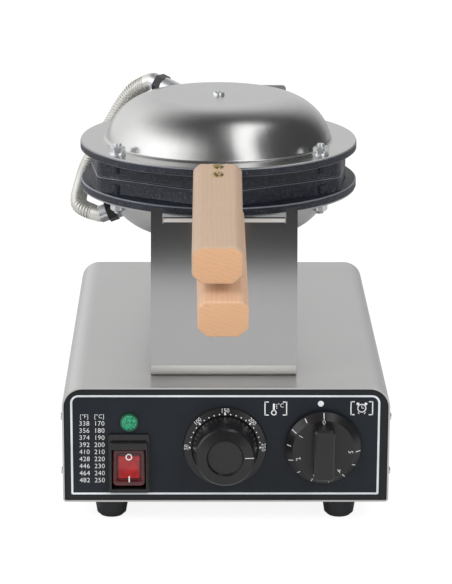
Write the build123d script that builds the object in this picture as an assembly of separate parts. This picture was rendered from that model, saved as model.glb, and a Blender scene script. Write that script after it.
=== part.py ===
"""Bubble waffle maker: two round cast plates on a turning shaft above a stainless steel base.

Lengths are millimetres. The origin is on the table, under the middle of the bounding box.
-Y is the front, with the handles and the controls, +X is the user's right, and +Z is up.
"""

import os
from math import cos, radians, sin, sqrt

from build123d import *

os.makedirs("parts", exist_ok=True)

# Base
base_width = 240.0
base_depth = 350.0
base_front = -125.2
base_rear = base_front + base_depth
foot_height = 20.0
base_top = 108.4
sheet = 1.2
cover_corner = 15.0

# Turning line of the plates, 5 mm left of the base's middle
axis_x = -5.0
axis_z = base_top + 138.7
plate_y = base_front + 135.0
pin_y = base_front + 251.0

# Plates, heights counted from the parting plane
plate_radius = 97.0
flange_radius = 105.2
flange_under = 11.5
flange_top = 17.5
parting_gap = 0.3
pan_radius = 88.0
web_height = 2.8
pan_back = 16.5
cell_pitch = 27.5
cell_radius = 12.2

# Domes
dome_sheet = 0.8
dome_height = 33.8
shoulder_centre = 45.5
shoulder_radius = 41.5

# Studs and nuts round the flange
stud_circle = 95.3
stud_angles = (-128.0, -52.0, 52.0, 128.0)

# Posts
post_front = base_front + 24.0
post_sheet = 1.5
post_x = -1.6
post_half_width = 53.9
horn_height = 129.5
notch_half_width = 44.8
rear_post_front = base_front + 285.0
rear_post_sheet = 2.5
rear_post_height = 167.4

# Handles
handle_length = 132.4
handle_width = 35.0
handle_thickness = 28.6
handle_root_y = base_front + 19.6
upper_root = 11.3
upper_droop = 12.2
upper_shift = -1.6
upper_swing = -0.4
lower_root = -19.5
lower_droop = 15.6
lower_shift = 0.0
lower_swing = 0.65
tongue_low = 6.3
tongue_high = 11.3
tongue_half_width = 9.0

# Swivel
shaft_radius = 9.0
shaft_bore = 6.0
bush_radius = 12.0
pin_radius = 4.0
running_gap = 0.05
seat_gap = 0.02

# Controls, heights counted down from the top of the base
dial_x = -0.8
dial_z = base_top - 45.1
timer_x = 71.3
timer_z = base_top - 44.9
lamp_x = -70.9
lamp_z = base_top - 26.4
switch_x = -71.3
switch_low = base_top - 80.6
switch_high = base_top - 35.4
rocker_low = base_top - 76.4
rocker_high = base_top - 46.9
rocker_half = 12.2
switch_body_half = 13.3
switch_wall = 1.4
label_face = base_front + 0.4

# Hose
hose_ribs = 48
hose_crest = 6.4
hose_root = 5.6
hose_end_radius = 5.2
hose_plain_end = 5.9
hose_bore = 3.9


def block(x0, x1, y0, y1, z0, z1):
    """A box between two corners."""
    size = (x1 - x0, y1 - y0, z1 - z0)
    middle = ((x0 + x1) / 2, (y0 + y1) / 2, (z0 + z1) / 2)
    return Pos(*middle) * Box(*size)


def rod(radius, start, end):
    """A round bar between two points."""
    start = Vector(*start)
    along = Vector(*end) - start
    plane = Plane(origin=start, z_dir=along)
    return plane * Cylinder(radius, along.length, align=(Align.CENTER, Align.CENTER, Align.MIN))


def ring(outer, inner, start, end):
    """A round bar with a bore through it."""
    return rod(outer, start, end) - rod(inner, start, end)


def hexagon(flats, start, end):
    """A six-sided bar between two points."""
    start = Vector(*start)
    along = Vector(*end) - start
    plane = Plane(origin=start, z_dir=along)
    return extrude(plane * RegularPolygon(flats / 2, 6, major_radius=False), along.length)


def from_front(face, y0, y1):
    """A solid whose outline is drawn as seen from the front."""
    plane = Plane(origin=(0, y1, 0), x_dir=(1, 0, 0), z_dir=(0, -1, 0))
    return extrude(plane * face, y1 - y0)


def from_side(face, x0, x1):
    """A solid whose outline is drawn in Y and Z."""
    plane = Plane(origin=(x0, 0, 0), x_dir=(0, 1, 0), z_dir=(1, 0, 0))
    return extrude(plane * face, x1 - x0)


def outline(points):
    return make_face(Polyline(*points, close=True))


def corner(face, x, y):
    """The corner of a flat face that is nearest to a place."""
    return min(face.vertices(), key=lambda v: (v.X - x) ** 2 + (v.Y - y) ** 2)


def rounded(face, corners):
    """A flat face with some corners rounded: each is (x, y, radius)."""
    for x, y, radius in corners:
        face = fillet(corner(face, x, y), radius)
    return face


def turned(points):
    """A body of revolution about Z from the corners of its half section."""
    return revolve(Plane.XZ * outline(points), Axis.Z)


def pan_head_screw(place, direction, head_radius, head_height, shank_radius, length):
    """A screw that stands on a surface at place and goes in against direction."""
    plane = Plane(origin=place, z_dir=direction)
    chamfered = head_height * 0.45
    head = turned(
        [
            (0, 0),
            (head_radius, 0),
            (head_radius, head_height - chamfered),
            (head_radius - chamfered, head_height),
            (0, head_height),
        ]
    )
    shank = Pos(0, 0, -length / 2) * Cylinder(shank_radius, length)
    return plane * (head + shank)


def group(solids):
    return Compound(children=[s for shape in solids for s in shape.solids()])


nodes = {}


# Base cover, one folded sheet with its long edges rounded


def cover_section(inset):
    half = base_width / 2 - inset
    low = foot_height + inset
    high = base_top - inset
    face = outline([(-half, low), (half, low), (half, high), (-half, high)])
    top = cover_corner - inset
    bottom = 2.5 - inset
    corners = [(-half, high, top), (half, high, top), (-half, low, bottom), (half, low, bottom)]
    return rounded(face, corners)


cover = from_front(cover_section(0) - cover_section(sheet), base_front, base_rear)
cover -= block(-104, 104, base_front + 14, base_rear + 1, foot_height - 1, foot_height + sheet + 1)
post_screw_places = [(post_x + x, post_front + 30.0) for x in (-36.0, 36.0)]
rear_screw_places = [(post_x + x, rear_post_front + 33.0) for x in (-42.0, 42.0)]
wire_hole = (axis_x, rear_post_front + 18.0)
for x, y in post_screw_places + rear_screw_places:
    cover -= rod(2.6, (x, y, base_top - 3), (x, y, base_top + 1))
cover -= rod(8.1, (*wire_hole, base_top - 3), (*wire_hole, base_top + 1))
side_screw_places = [(y, z) for y in (base_front + 8.0, base_rear - 8.0) for z in (42.0, 84.0)]
for y, z in side_screw_places:
    cover -= rod(1.6, (-base_width, y, z), (base_width, y, z))
nodes["base_cover"] = cover

# Front panel, printed face sheet and rear panel


def panel(front, depth, flange_back):
    """A plate that closes one end of the cover, with a flange along each side."""
    half = base_width / 2 - sheet - 0.15
    low = foot_height + sheet + 0.15
    high = base_top - sheet - 0.15
    top = cover_corner - sheet - 0.15
    face = outline([(-half, low), (half, low), (half, high), (-half, high)])
    corners = [(-half, high, top), (half, high, top), (-half, low, 2.0), (half, low, 2.0)]
    plate = from_front(rounded(face, corners), front, front + depth)
    near, far = sorted((front + depth / 2, front + depth / 2 + flange_back))
    for side in (-1, 1):
        x0, x1 = sorted((side * (half - sheet), side * half))
        flange = block(x0, x1, near, far, 32, 92)
        plate += flange
        for y, z in side_screw_places:
            plate -= rod(1.6, (side * (half - 5), y, z), (side * (half + 5), y, z))
    return plate


def panel_openings(y0, y1):
    """The holes that the controls need through the front panel and its face sheet."""
    holes = rod(5.2, (dial_x, y0, dial_z), (dial_x, y1, dial_z))
    holes += rod(5.2, (timer_x, y0, timer_z), (timer_x, y1, timer_z))
    holes += rod(6.1, (lamp_x, y0, lamp_z), (lamp_x, y1, lamp_z))
    holes += block(
        switch_x - switch_body_half - 0.1,
        switch_x + switch_body_half + 0.1,
        y0,
        y1,
        rocker_low - switch_wall - 0.1,
        rocker_high + switch_wall + 0.1,
    )
    return holes


front_panel = panel(base_front + 0.8, sheet, 13.0)
front_panel -= panel_openings(base_front - 5, base_front + 10)
nodes["front_panel"] = front_panel

label = outline([(-114.0, 25.3), (112.9, 25.3), (112.9, 102.9), (-114.0, 102.9)])
label = rounded(
    label, [(-114.0, 102.9, 6), (112.9, 102.9, 6), (-114.0, 25.3, 1.5), (112.9, 25.3, 1.5)]
)
face_sheet = from_front(label, label_face, label_face + 0.4)
nodes["control_face_sheet"] = face_sheet - panel_openings(base_front - 5, base_front + 10)

gland_x = 70.0
gland_z = 44.0
rear_panel = panel(base_rear - 0.8 - sheet, sheet, -13.0)
rear_panel -= rod(8.1, (gland_x, base_rear - 9, gland_z), (gland_x, base_rear + 1, gland_z))
for column in range(-3, 3):
    for row in range(4):
        x = -24 + 15 * column
        z = 42 + 11 * row
        slot = from_front(Pos(x, z) * SlotOverall(11, 3.4), base_rear - 4, base_rear + 1)
        rear_panel -= slot
nodes["rear_panel"] = rear_panel


def small_screw(place, direction):
    return pan_head_screw(place, direction, 2.8, 1.5, 1.5, 6.5)


small_screws = []
for y, z in side_screw_places:
    for side in (-1, 1):
        small_screws.append(small_screw((side * base_width / 2, y, z), (side, 0, 0)))

# Bottom plate, feet and foot screws

foot_places = [
    (x, y) for x in (-85.2, 85.2) for y in (base_front + 30.0, base_rear - 30.0)
]
plate_low = foot_height + sheet
bottom = block(-117.5, 117.5, base_front + 2.2, base_rear - 2.2, plate_low, plate_low + sheet)
for row in range(7):
    for side in (-1, 1):
        slot = Pos(side * 32, base_front + 115 + 20 * row) * SlotOverall(40, 5)
        bottom -= extrude(Plane.XY.offset(plate_low - 1) * slot, 4)
for x, y in foot_places:
    bottom -= rod(2.6, (x, y, plate_low - 1), (x, y, plate_low + 3))
nodes["bottom_plate"] = bottom


def foot(x, y):
    """A tapered rubber foot with a hole for its screw and a recess for the screw's head."""
    body = turned([(0, 0), (8.6, 0), (10.9, 2.2), (13.3, 16.5), (13.3, plate_low), (0, plate_low)])
    body -= Cylinder(5.6, 14, align=(Align.CENTER, Align.CENTER, Align.CENTER))
    body -= Cylinder(2.6, 60)
    return Pos(x, y, 0) * body


nodes["rubber_feet"] = group([foot(x, y) for x, y in foot_places])
foot_screws = []
for x, y in foot_places:
    screw = rod(4.6, (x, y, 3.6), (x, y, 7.0)) + rod(2.5, (x, y, 7.0), (x, y, 29.0))
    nut = hexagon(8, (x, y, plate_low + sheet), (x, y, plate_low + sheet + 4)) - rod(
        2.5, (x, y, 10), (x, y, 30)
    )
    foot_screws.append(screw + nut)
nodes["foot_screws"] = group(foot_screws)

# Front post, one bent sheet with a notch for the handle tongues and a rolled lip


def front_post():
    top = base_top + 117.0
    back = post_front + post_sheet
    reach = post_front + 46.0
    face = outline(
        [
            (post_front, top),
            (post_front, base_top),
            (reach, base_top),
            (reach, base_top + post_sheet),
            (back, base_top + post_sheet),
            (back, top),
        ]
    )
    bends = [(post_front, base_top, 9.5), (back, base_top + post_sheet, 8.0)]
    post = from_side(rounded(face, bends), -post_half_width, post_half_width)
    lip_top = base_top + 120.9
    lip_end = post_front + 5.0
    lip = outline(
        [
            (post_front, top - 1),
            (post_front, lip_top),
            (lip_end, lip_top),
            (lip_end, lip_top - post_sheet),
            (back, lip_top - post_sheet),
            (back, top - 1),
        ]
    )
    lip = rounded(lip, [(post_front, lip_top, 2.3), (back, lip_top - post_sheet, 0.8)])
    post += from_side(lip, -notch_half_width + 0.5, notch_half_width - 0.5)
    horn_top = base_top + horn_height
    for side in (-1, 1):
        x0, x1 = sorted((side * notch_half_width, side * post_half_width))
        post += block(x0, x1, post_front, back, top - 1, horn_top)
    wide = post_half_width
    narrow = 53.2
    shape = outline(
        [
            (-wide, 90),
            (wide, 90),
            (wide, 120),
            (narrow, horn_top),
            (-narrow, horn_top),
            (-wide, 120),
        ]
    )
    shape = rounded(shape, [(narrow, horn_top, 3.5), (-narrow, horn_top, 3.5)])
    post &= from_front(shape, post_front - 1, post_front + 60)
    post = Pos(post_x, 0, 0) * post
    for x, y in post_screw_places:
        post -= rod(2.6, (x, y, base_top - 1), (x, y, base_top + 5))
    return post


nodes["front_post"] = front_post()

# Rear post, a plate with a foot and two side gussets, that holds the swivel bush


def rear_post():
    front = rear_post_front
    back = front + rear_post_sheet
    top = base_top + rear_post_height
    left = post_x - 53
    right = post_x + 53
    shape = outline([(left, base_top), (right, base_top), (right, top), (left, top)])
    shape = rounded(shape, [(right, top, 3), (left, top, 3)])
    post = from_front(shape, front, back)
    post += block(left, right, front, front + 44, base_top, base_top + rear_post_sheet)
    gusset = outline(
        [
            (front + 1, base_top),
            (front + 44, base_top),
            (front + 44, base_top + 6),
            (back + 4, top - 8),
            (front + 1, top - 8),
        ]
    )
    post += from_side(gusset, left, left + 2.5)
    post += from_side(gusset, right - 2.5, right)
    post -= rod(bush_radius + seat_gap, (axis_x, front - 5, axis_z), (axis_x, front + 9, axis_z))
    for x, y in rear_screw_places:
        post -= rod(2.6, (x, y, base_top - 1), (x, y, base_top + 5))
    post -= rod(8.1, (*wire_hole, base_top - 1), (*wire_hole, base_top + 5))
    return post


nodes["rear_post"] = rear_post()

post_screws = []
for x, y in post_screw_places:
    post_screws.append(
        pan_head_screw((x, y, base_top + post_sheet), (0, 0, 1), 4.6, 3.0, 2.5, 14)
    )
for x, y in rear_screw_places:
    post_screws.append(
        pan_head_screw((x, y, base_top + rear_post_sheet), (0, 0, 1), 4.6, 3.0, 2.5, 14)
    )
nodes["post_screws"] = group(post_screws)

# Swivel bush, its screws and the cover over the back of the shaft

bush_front = rear_post_front - 5.0
bush_back = rear_post_front + 20.0
post_back = rear_post_front + rear_post_sheet
bush = rod(bush_radius, (axis_x, bush_front, axis_z), (axis_x, bush_back, axis_z))
bush += rod(18, (axis_x, post_back, axis_z), (axis_x, post_back + 4.5, axis_z))
bush -= rod(
    shaft_radius + running_gap, (axis_x, bush_front - 1, axis_z), (axis_x, bush_back + 1, axis_z)
)
bush_screw_places = [
    (axis_x + 14.8 * cos(radians(a)), axis_z + 14.8 * sin(radians(a))) for a in (45, 135, 225, 315)
]
for x, z in bush_screw_places:
    hole = rod(1.55, (x, post_back - 4, z), (x, post_back + 6, z))
    bush -= hole
    nodes["rear_post"] -= hole
nodes["swivel_bush"] = bush
for x, z in bush_screw_places:
    small_screws.append(small_screw((x, post_back + 4.5, z), (0, 1, 0)))

cover_left = axis_x - 33.0
cover_right = axis_x + 33.0
cover_low = base_top + rear_post_sheet
cover_high = axis_z + 20.0
cover_depth = 38.0
shaft_cover = block(
    cover_left, cover_right, post_back, post_back + cover_depth, cover_low, cover_high
)
shaft_cover = fillet(
    shaft_cover.edges().filter_by(Axis.Z).sort_by(Axis.Y)[-2:]
    + shaft_cover.edges().filter_by(Axis.X).sort_by(lambda e: e.center().Y + e.center().Z)[-1:],
    4,
)
shaft_cover -= block(
    cover_left + sheet,
    cover_right - sheet,
    post_back - 1,
    post_back + cover_depth - sheet,
    cover_low - 1,
    cover_high - sheet,
)
for x in (cover_left, cover_right):
    outer = x - 9 if x == cover_left else x + 9
    x0, x1 = sorted((x + (0.6 if x == cover_left else -0.6), outer))
    shaft_cover += block(x0, x1, post_back, post_back + sheet, cover_low + 4, axis_z + 10)
cover_screw_places = [
    (x, z) for x in (cover_left - 4.5, cover_right + 4.5) for z in (cover_low + 20, axis_z - 2)
]
for x, z in cover_screw_places:
    hole = rod(1.55, (x, post_back - 4, z), (x, post_back + 3, z))
    shaft_cover -= hole
    nodes["rear_post"] -= hole
nodes["shaft_cover"] = shaft_cover
for x, z in cover_screw_places:
    small_screws.append(small_screw((x, post_back + sheet, z), (0, 1, 0)))
nodes["small_screws"] = group(small_screws)

grommet = ring(
    8.0, 5.0, (*wire_hole, base_top - sheet), (*wire_hole, base_top + rear_post_sheet + 0.1)
)
grommet += ring(
    10.0, 5.0, (*wire_hole, base_top + rear_post_sheet), (*wire_hole, base_top + rear_post_sheet + 2)
)
nodes["wire_grommet"] = grommet

# Control bodies inside the base

panel_back = base_front + 0.8 + sheet


def control_body(x, z, width, height, depth):
    """A housing behind the panel, with a threaded neck through it and a bore for its spindle."""
    body = Pos(x, panel_back + depth / 2, z) * Box(width, depth, height)
    body += rod(5.0, (x, label_face - 2.4, z), (x, panel_back + 1, z))
    bore = rod(3.0 + running_gap, (x, label_face - 9, z), (x, panel_back + depth - 6, z))
    return body - bore


nodes["thermostat_body"] = control_body(dial_x, dial_z, 44, 38, 30)
nodes["timer_body"] = control_body(timer_x, timer_z, 46, 46, 34)

dial = turned([(24.9, 0), (30.6, 0), (30.0, 2.0), (24.9, 3.6)])
dial += turned([(5.1, 0), (25.5, 0), (25.5, 1.2), (5.1, 1.2)])
nodes["temperature_dial"] = Pos(dial_x, label_face, dial_z) * Rot(90, 0, 0) * dial

lens = turned([(0, 0), (7.0, 0), (7.0, 1.6), (6.2, 2.8), (0, 3.2)])
nodes["lamp_lens"] = Pos(lamp_x, label_face, lamp_z) * Rot(90, 0, 0) * lens
lamp_back = panel_back + 22
nodes["lamp_body"] = rod(6.0, (lamp_x, label_face, lamp_z), (lamp_x, lamp_back, lamp_z))

# Power switch: a bezel with a hood above the rocker, and the body behind it

rocker_pivot_y = base_front + 6.0
rocker_pivot_z = (rocker_low + rocker_high) / 2
bezel_face = label_face - 2.4
bezel = block(switch_x - 15, switch_x + 15, bezel_face, label_face, switch_low, switch_high)
bezel = fillet(bezel.edges().filter_by(Axis.Y), 1.5)
hood = block(
    switch_x - 14.2, switch_x + 14.2, label_face - 5.2, label_face, rocker_low - 2.2, switch_high - 5
)
hood = fillet(hood.edges().filter_by(Axis.Y), 2.5)
hood = fillet(hood.faces().sort_by(Axis.Y)[0].edges().sort_by(Axis.Z)[-1:], 1.2)
bezel += hood
window = block(
    switch_x - rocker_half - 0.4,
    switch_x + rocker_half + 0.4,
    label_face - 10,
    label_face + 1,
    rocker_low - 0.6,
    rocker_high + 0.6,
)
bezel -= window
nodes["switch_bezel"] = bezel

switch_body = block(
    switch_x - switch_body_half,
    switch_x + switch_body_half,
    label_face,
    base_front + 26,
    rocker_low - switch_wall,
    rocker_high + switch_wall,
)
switch_body -= block(
    switch_x - rocker_half - 0.4,
    switch_x + rocker_half + 0.4,
    label_face - 1,
    base_front + 15,
    rocker_low - 0.6,
    rocker_high + 0.6,
)
for side in (-1, 1):
    start = (switch_x + side * rocker_half, rocker_pivot_y, rocker_pivot_z)
    end = (switch_x + side * (switch_body_half + 0.5), rocker_pivot_y, rocker_pivot_z)
    switch_body -= rod(1.45, start, end)
for k in (-1, 0, 1):
    z = rocker_pivot_z + 8 * k
    switch_body += block(
        switch_x - 3.2, switch_x + 3.2, base_front + 25, base_front + 34, z - 0.4, z + 0.4
    )
nodes["switch_body"] = switch_body

# Rocker, drawn in side view, pressed in at its upper end

rocker_tilt = -6.0


def rocker():
    """A dished rocker with a short pin at each side, about its own pivot."""
    tip = (rocker_high - rocker_low) / 2 - 0.5
    face = outline(
        [
            (-7.8, -tip),
            (-6.6, 0),
            (-7.8, tip),
            (1.8, tip - 0.6),
            (4.0, 6),
            (4.0, -6),
            (1.8, 0.6 - tip),
        ]
    )
    face = rounded(face, [(-6.6, 0, 20.0), (-7.8, tip, 1.2), (-7.8, -tip, 1.2)])
    body = from_side(face, -rocker_half, rocker_half)
    body += rod(1.4, (-rocker_half - 0.9, 0, 0), (rocker_half + 0.9, 0, 0))
    return Pos(switch_x, rocker_pivot_y, rocker_pivot_z) * Rot(rocker_tilt, 0, 0) * body


nodes["power_rocker"] = rocker()

# Terminal block and the cable gland at the back

terminals = block(-30, 30, base_rear - 90, base_rear - 68, plate_low + sheet, plate_low + sheet + 18)
for k in range(5):
    x = -24 + 12 * k
    terminals -= rod(3, (x, base_rear - 79, plate_low + 12), (x, base_rear - 79, plate_low + 30))
nodes["terminal_block"] = terminals

gland = rod(8.0, (gland_x, base_rear - 16, gland_z), (gland_x, base_rear, gland_z))
gland += hexagon(20, (gland_x, base_rear - 0.8, gland_z), (gland_x, base_rear + 4, gland_z))
gland += rod(9.0, (gland_x, base_rear + 3, gland_z), (gland_x, base_rear + 13, gland_z))
gland += hexagon(20, (gland_x, base_rear - 7, gland_z), (gland_x, base_rear - 0.8 - sheet, gland_z))
gland -= rod(4.5, (gland_x, base_rear - 20, gland_z), (gland_x, base_rear + 20, gland_z))
nodes["cable_gland"] = gland

# Knobs

spindle_end = panel_back + 20.0


def spindle(x, z, front):
    return rod(3.0, (x, front, z), (x, spindle_end, z))


def temperature_knob():
    """A round knob, its front sloping up from a sharp rim to a dished middle."""
    body = turned(
        [
            (3.02, 0),
            (24.2, 0),
            (23.6, 3.0),
            (21.8, 20.6),
            (20.6, 22.3),
            (13.6, 23.6),
            (12.4, 21.6),
            (0, 21.6),
            (0, 16.0),
            (3.02, 16.0),
        ]
    )
    return Pos(dial_x, label_face - 3.9, dial_z) * Rot(90, 0, 0) * body


def timer_knob():
    """A flat dial with a bevelled rim and a bar grip across it."""
    body = turned([(3.02, 0), (27.5, 0), (27.5, 1.5), (22.7, 6.5), (0, 6.5), (0, 5.0), (3.02, 5.0)])
    grip = Pos(0, 0, 6.0) * Box(15, 39, 15, align=(Align.CENTER, Align.CENTER, Align.MIN))
    grip = fillet(grip.edges().filter_by(Axis.Z), 3)
    grip = chamfer(grip.faces().sort_by(Axis.Z)[-1].edges(), 1.5)
    return Pos(timer_x, label_face - 3.0, timer_z) * Rot(90, 0, 0) * (body + grip)


nodes["temperature_knob"] = temperature_knob()
nodes["temperature_spindle"] = spindle(dial_x, dial_z, label_face - 3.9 - 15.8)
nodes["timer_knob"] = timer_knob()
nodes["timer_spindle"] = spindle(timer_x, timer_z, label_face - 3.0 - 4.8)

# Cast plates, drawn about their own centre, upper one with its cooking side down


def cell_places():
    """The centres of the round cells, on a triangular grid inside the pan."""
    places = []
    for row in range(-3, 4):
        for column in range(-3, 4):
            x = cell_pitch * (column + row / 2)
            y = cell_pitch * row * sqrt(3) / 2
            if x * x + y * y < (2.8 * cell_pitch) ** 2:
                places.append((x, y))
    return places


def egg_pan():
    """A round pan with its cells; the triangular grid leaves a web between them."""
    pan = Pos(0, 0, (web_height + pan_back) / 2) * Cylinder(pan_radius, pan_back - web_height)
    cell = turned(
        [
            (0, web_height - 1),
            (cell_radius, web_height - 1),
            (cell_radius, web_height),
            (9.9, 8.6),
            (4.9, 12.6),
            (0, 12.6),
        ]
    )
    pan -= rod(2.5 + seat_gap, (0, 0, 13.4), (0, 0, pan_back + 1))
    return pan - [Pos(x, y, 0) * cell for x, y in cell_places()]


def plate_ring(lug_inner, lug_outer, bore):
    """The ring round a pan: drum, flange, stud bosses, and two hinge lugs at the back."""
    body = turned(
        [
            (85.5, parting_gap),
            (plate_radius, parting_gap),
            (plate_radius, 8.4),
            (98.2, 8.9),
            (98.2, flange_under),
            (flange_radius - 1, flange_under),
            (flange_radius, flange_under + 1),
            (flange_radius, flange_top - 1),
            (flange_radius - 1, flange_top),
            (pan_radius + seat_gap, flange_top),
            (pan_radius + seat_gap, web_height),
            (85.5, web_height),
        ]
    )
    for angle in stud_angles:
        x = 95.6 * sin(radians(angle))
        y = -95.6 * cos(radians(angle))
        body += rod(4.6, (x, y, 4.5), (x, y, flange_under + 1))
    hinge_y = pin_y - plate_y
    for side in (-1, 1):
        x0, x1 = sorted((side * lug_inner, side * lug_outer))
        arm = block(x0, x1, 89.5, hinge_y, 0.6, 9.0)
        arm += rod(9.0, (x0, hinge_y, 0), (x1, hinge_y, 0))
        body += arm
    body -= rod(bore, (-60, hinge_y, 0), (60, hinge_y, 0))
    for x, y in stud_places():
        body -= rod(3.0 + seat_gap, (x, y, 5.5), (x, y, flange_top + 1))
    for x, y in tongue_screw_places:
        body -= rod(2.0 + seat_gap, (x, y, 5.5), (x, y, flange_top + 1))
    return body


def stud_places():
    return [
        (stud_circle * sin(radians(a)), -stud_circle * cos(radians(a))) for a in stud_angles
    ]


tongue_screw_places = [(-5.2, -100.4), (5.2, -100.4)]
hose_seat_upper = Vector(-36.0, 61.4, flange_top + 24.8)
hose_seat_lower = Vector(-77.0, 2.0, flange_top + 20.1)
hose_way_upper = Vector(-0.72, 0.58, 0.25).normalized()
hose_way_lower = Vector(-0.93, 0.0, 0.36).normalized()


def dome_section(inset):
    """Half the section of the dome: flat crown, round shoulder, and a flat ring over the flange."""
    crown = dome_height - inset
    low = dome_sheet - inset
    radius = shoulder_radius - inset
    drop = dome_height - shoulder_radius
    foot_r = shoulder_centre + sqrt(radius**2 - (low - drop) ** 2)
    middle_r = shoulder_centre + radius * sin(radians(48))
    middle_z = drop + radius * cos(radians(48))
    lines = [
        Line((0, -2), (0, crown)),
        Line((0, crown), (shoulder_centre, crown)),
        ThreePointArc((shoulder_centre, crown), (middle_r, middle_z), (foot_r, low)),
        Line((foot_r, low), (flange_radius - 0.6, low)),
        Line((flange_radius - 0.6, low), (flange_radius - 0.6, -2)),
        Line((flange_radius - 0.6, -2), (0, -2)),
    ]
    face = make_face(lines)
    return fillet(corner(face, foot_r, low), 2.2 + inset)


def dome_solid(inset):
    solid = revolve(Plane.XZ * dome_section(inset), Axis.Z)
    return Pos(0, 0, flange_top) * solid


def dome(seat, way):
    shell = dome_solid(0) - dome_solid(dome_sheet)
    shell -= Pos(0, 0, flange_top - 5) * Cylinder(200, 10)
    for x, y in stud_places() + tongue_screw_places:
        shell -= rod(3.3, (x, y, flange_top - 1), (x, y, flange_top + 2))
    shell -= rod(2.6, (0, 0, 40), (0, 0, 60))
    shell -= rod(4.6, seat - way * 8, seat + way * 8)
    return shell


def hose_fitting(seat, way, neck):
    """The threaded body with the sleeve that holds the hose end, and its hexagon nut."""
    body = rod(7.6, seat - way * 6, seat + way * (neck + 2)) - dome_solid(0)
    body += rod(4.5, seat - way * 5, seat + way * (neck + 2.5))
    body += rod(5.0, seat + way * (neck + 2), seat + way * (neck + 9.5))
    nut = hexagon(15, seat + way * (neck + 2), seat + way * (neck + 9)) - rod(
        5.0 + seat_gap, seat + way * neck, seat + way * (neck + 10)
    )
    body += rod(6.7, seat + way * (neck + 9), seat + way * (neck + 14.8))
    body -= rod(5.45, seat + way * (neck + 9.8), seat + way * (neck + 20))
    body -= rod(3.2, seat - way * 7, seat + way * (neck + 12))
    return body, nut


def stud_and_nut(x, y):
    low = flange_top + dome_sheet
    nut = hexagon(10, (x, y, low + 1.2), (x, y, low + 6)) + rod(6.2, (x, y, low), (x, y, low + 1.3))
    return nut + rod(3.0, (x, y, 5.5), (x, y, low + 7.8))


def plate_parts(prefix, lug_inner, lug_outer, bore, seat, way, neck):
    """The pieces of one plate, with its cooking side at the parting plane and its dome up."""
    fitting, nut = hose_fitting(seat, way, neck)
    heater = turned([(38, pan_back), (70, pan_back), (70, 23), (38, 23)])
    for side in (-1, 1):
        heater += rod(3, (side * 12, -54, 20), (side * 12, -54, 29))
    blanket = turned([(7, 23), (73, 23), (73, 31), (7, 31)])
    for side in (-1, 1):
        blanket -= rod(3.4, (side * 12, -54, 20), (side * 12, -54, 40))
    screw_at = (0, 0, flange_top + dome_height)
    screw_length = flange_top + dome_height - 13.4
    return {
        prefix + "_plate_ring": plate_ring(lug_inner, lug_outer, bore),
        prefix + "_egg_pan": egg_pan(),
        prefix + "_heater": heater,
        prefix + "_heat_blanket": blanket,
        prefix + "_dome": dome(seat, way),
        prefix + "_dome_screw": pan_head_screw(screw_at, (0, 0, 1), 4.6, 2.8, 2.5, screw_length),
        prefix + "_flange_nuts": group([stud_and_nut(x, y) for x, y in stud_places()]),
        prefix + "_hose_fitting": fitting,
        prefix + "_hose_nut": nut,
    }


plate_place = Pos(axis_x, plate_y, axis_z)
upper = plate_parts(
    "upper", 21.2, 31.0, pin_radius + running_gap, hose_seat_upper, hose_way_upper, 5.5
)
for name, shape in upper.items():
    nodes[name] = plate_place * shape

lower = plate_parts(
    "lower", 31.6, 40.0, pin_radius + seat_gap, hose_seat_lower, hose_way_lower, 0.0
)
yoke_bolt_places = [(-12.0, 97.2), (12.0, 97.2)]
for x, y in yoke_bolt_places:
    lower["lower_plate_ring"] -= rod(2.5 + seat_gap, (x, y, 6.5), (x, y, flange_top + 1))
    lower["lower_dome"] -= rod(2.8, (x, y, flange_top - 1), (x, y, flange_top + 2))
for name, shape in lower.items():
    nodes[name] = plate_place * mirror(shape, about=Plane.XY)

# Handles and their tongues


def handle_frame(root, droop, shift, swing):
    """The plane of a handle's root end: its local Z runs along the handle, towards the user."""
    out = Vector(sin(radians(swing)), -cos(radians(swing)), 0)
    across = Vector(cos(radians(swing)), sin(radians(swing)), 0)
    along = out * cos(radians(droop)) - Vector(0, 0, 1) * sin(radians(droop))
    return Plane(
        origin=(axis_x + shift, handle_root_y, axis_z + root), x_dir=across, z_dir=along
    )


def tongue(frame, low, high, grow):
    """A steel strip from under the flange into the handle, bent where it enters the wood."""
    half = tongue_half_width + grow
    middle = (low + high) / 2
    thick = high - low + 2 * grow
    straight = block(
        axis_x - half,
        axis_x + half,
        handle_root_y - 1.5,
        plate_y - 98.6,
        axis_z + middle - thick / 2,
        axis_z + middle + thick / 2,
    )
    place = (frame.origin.X, handle_root_y, axis_z + middle)
    bend = Plane(origin=place, x_dir=frame.x_dir, z_dir=frame.z_dir)
    tail = bend * Box(
        2 * half, thick, 48.0 + grow, align=(Align.CENTER, Align.CENTER, Align.MIN)
    )
    return straight + tail


def handle(frame, low, high, screw_side):
    """A wooden bar of eight-sided section, with a slot for the tongue and two screw holes."""
    half_w = handle_width / 2
    half_t = handle_thickness / 2
    section = Rectangle(handle_width, handle_thickness)
    section = chamfer(section.vertices(), 7.0)
    section = fillet(section.vertices(), 2.0)
    bar = extrude(section, handle_length)
    bar = chamfer(bar.faces().sort_by(Axis.Z)[-1].edges(), 1.2)
    bar = chamfer(bar.faces().sort_by(Axis.Z)[0].edges(), 2.0)
    screws = []
    top = screw_side * half_t
    for along in (6.0, 19.0):
        bar -= rod(1.82, (0, top * 1.5, along), (0, -top * 0.55, along))
        screws.append(
            frame
            * pan_head_screw((0, top, along), (0, screw_side, 0), 3.5, 1.3, 1.8, 20)
        )
    wood = frame * bar
    strip = tongue(frame, low, high, 0.0)
    wood -= tongue(frame, low, high, 0.15)
    for screw in screws:
        strip -= screw
    return wood, strip, group(screws)


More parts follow.
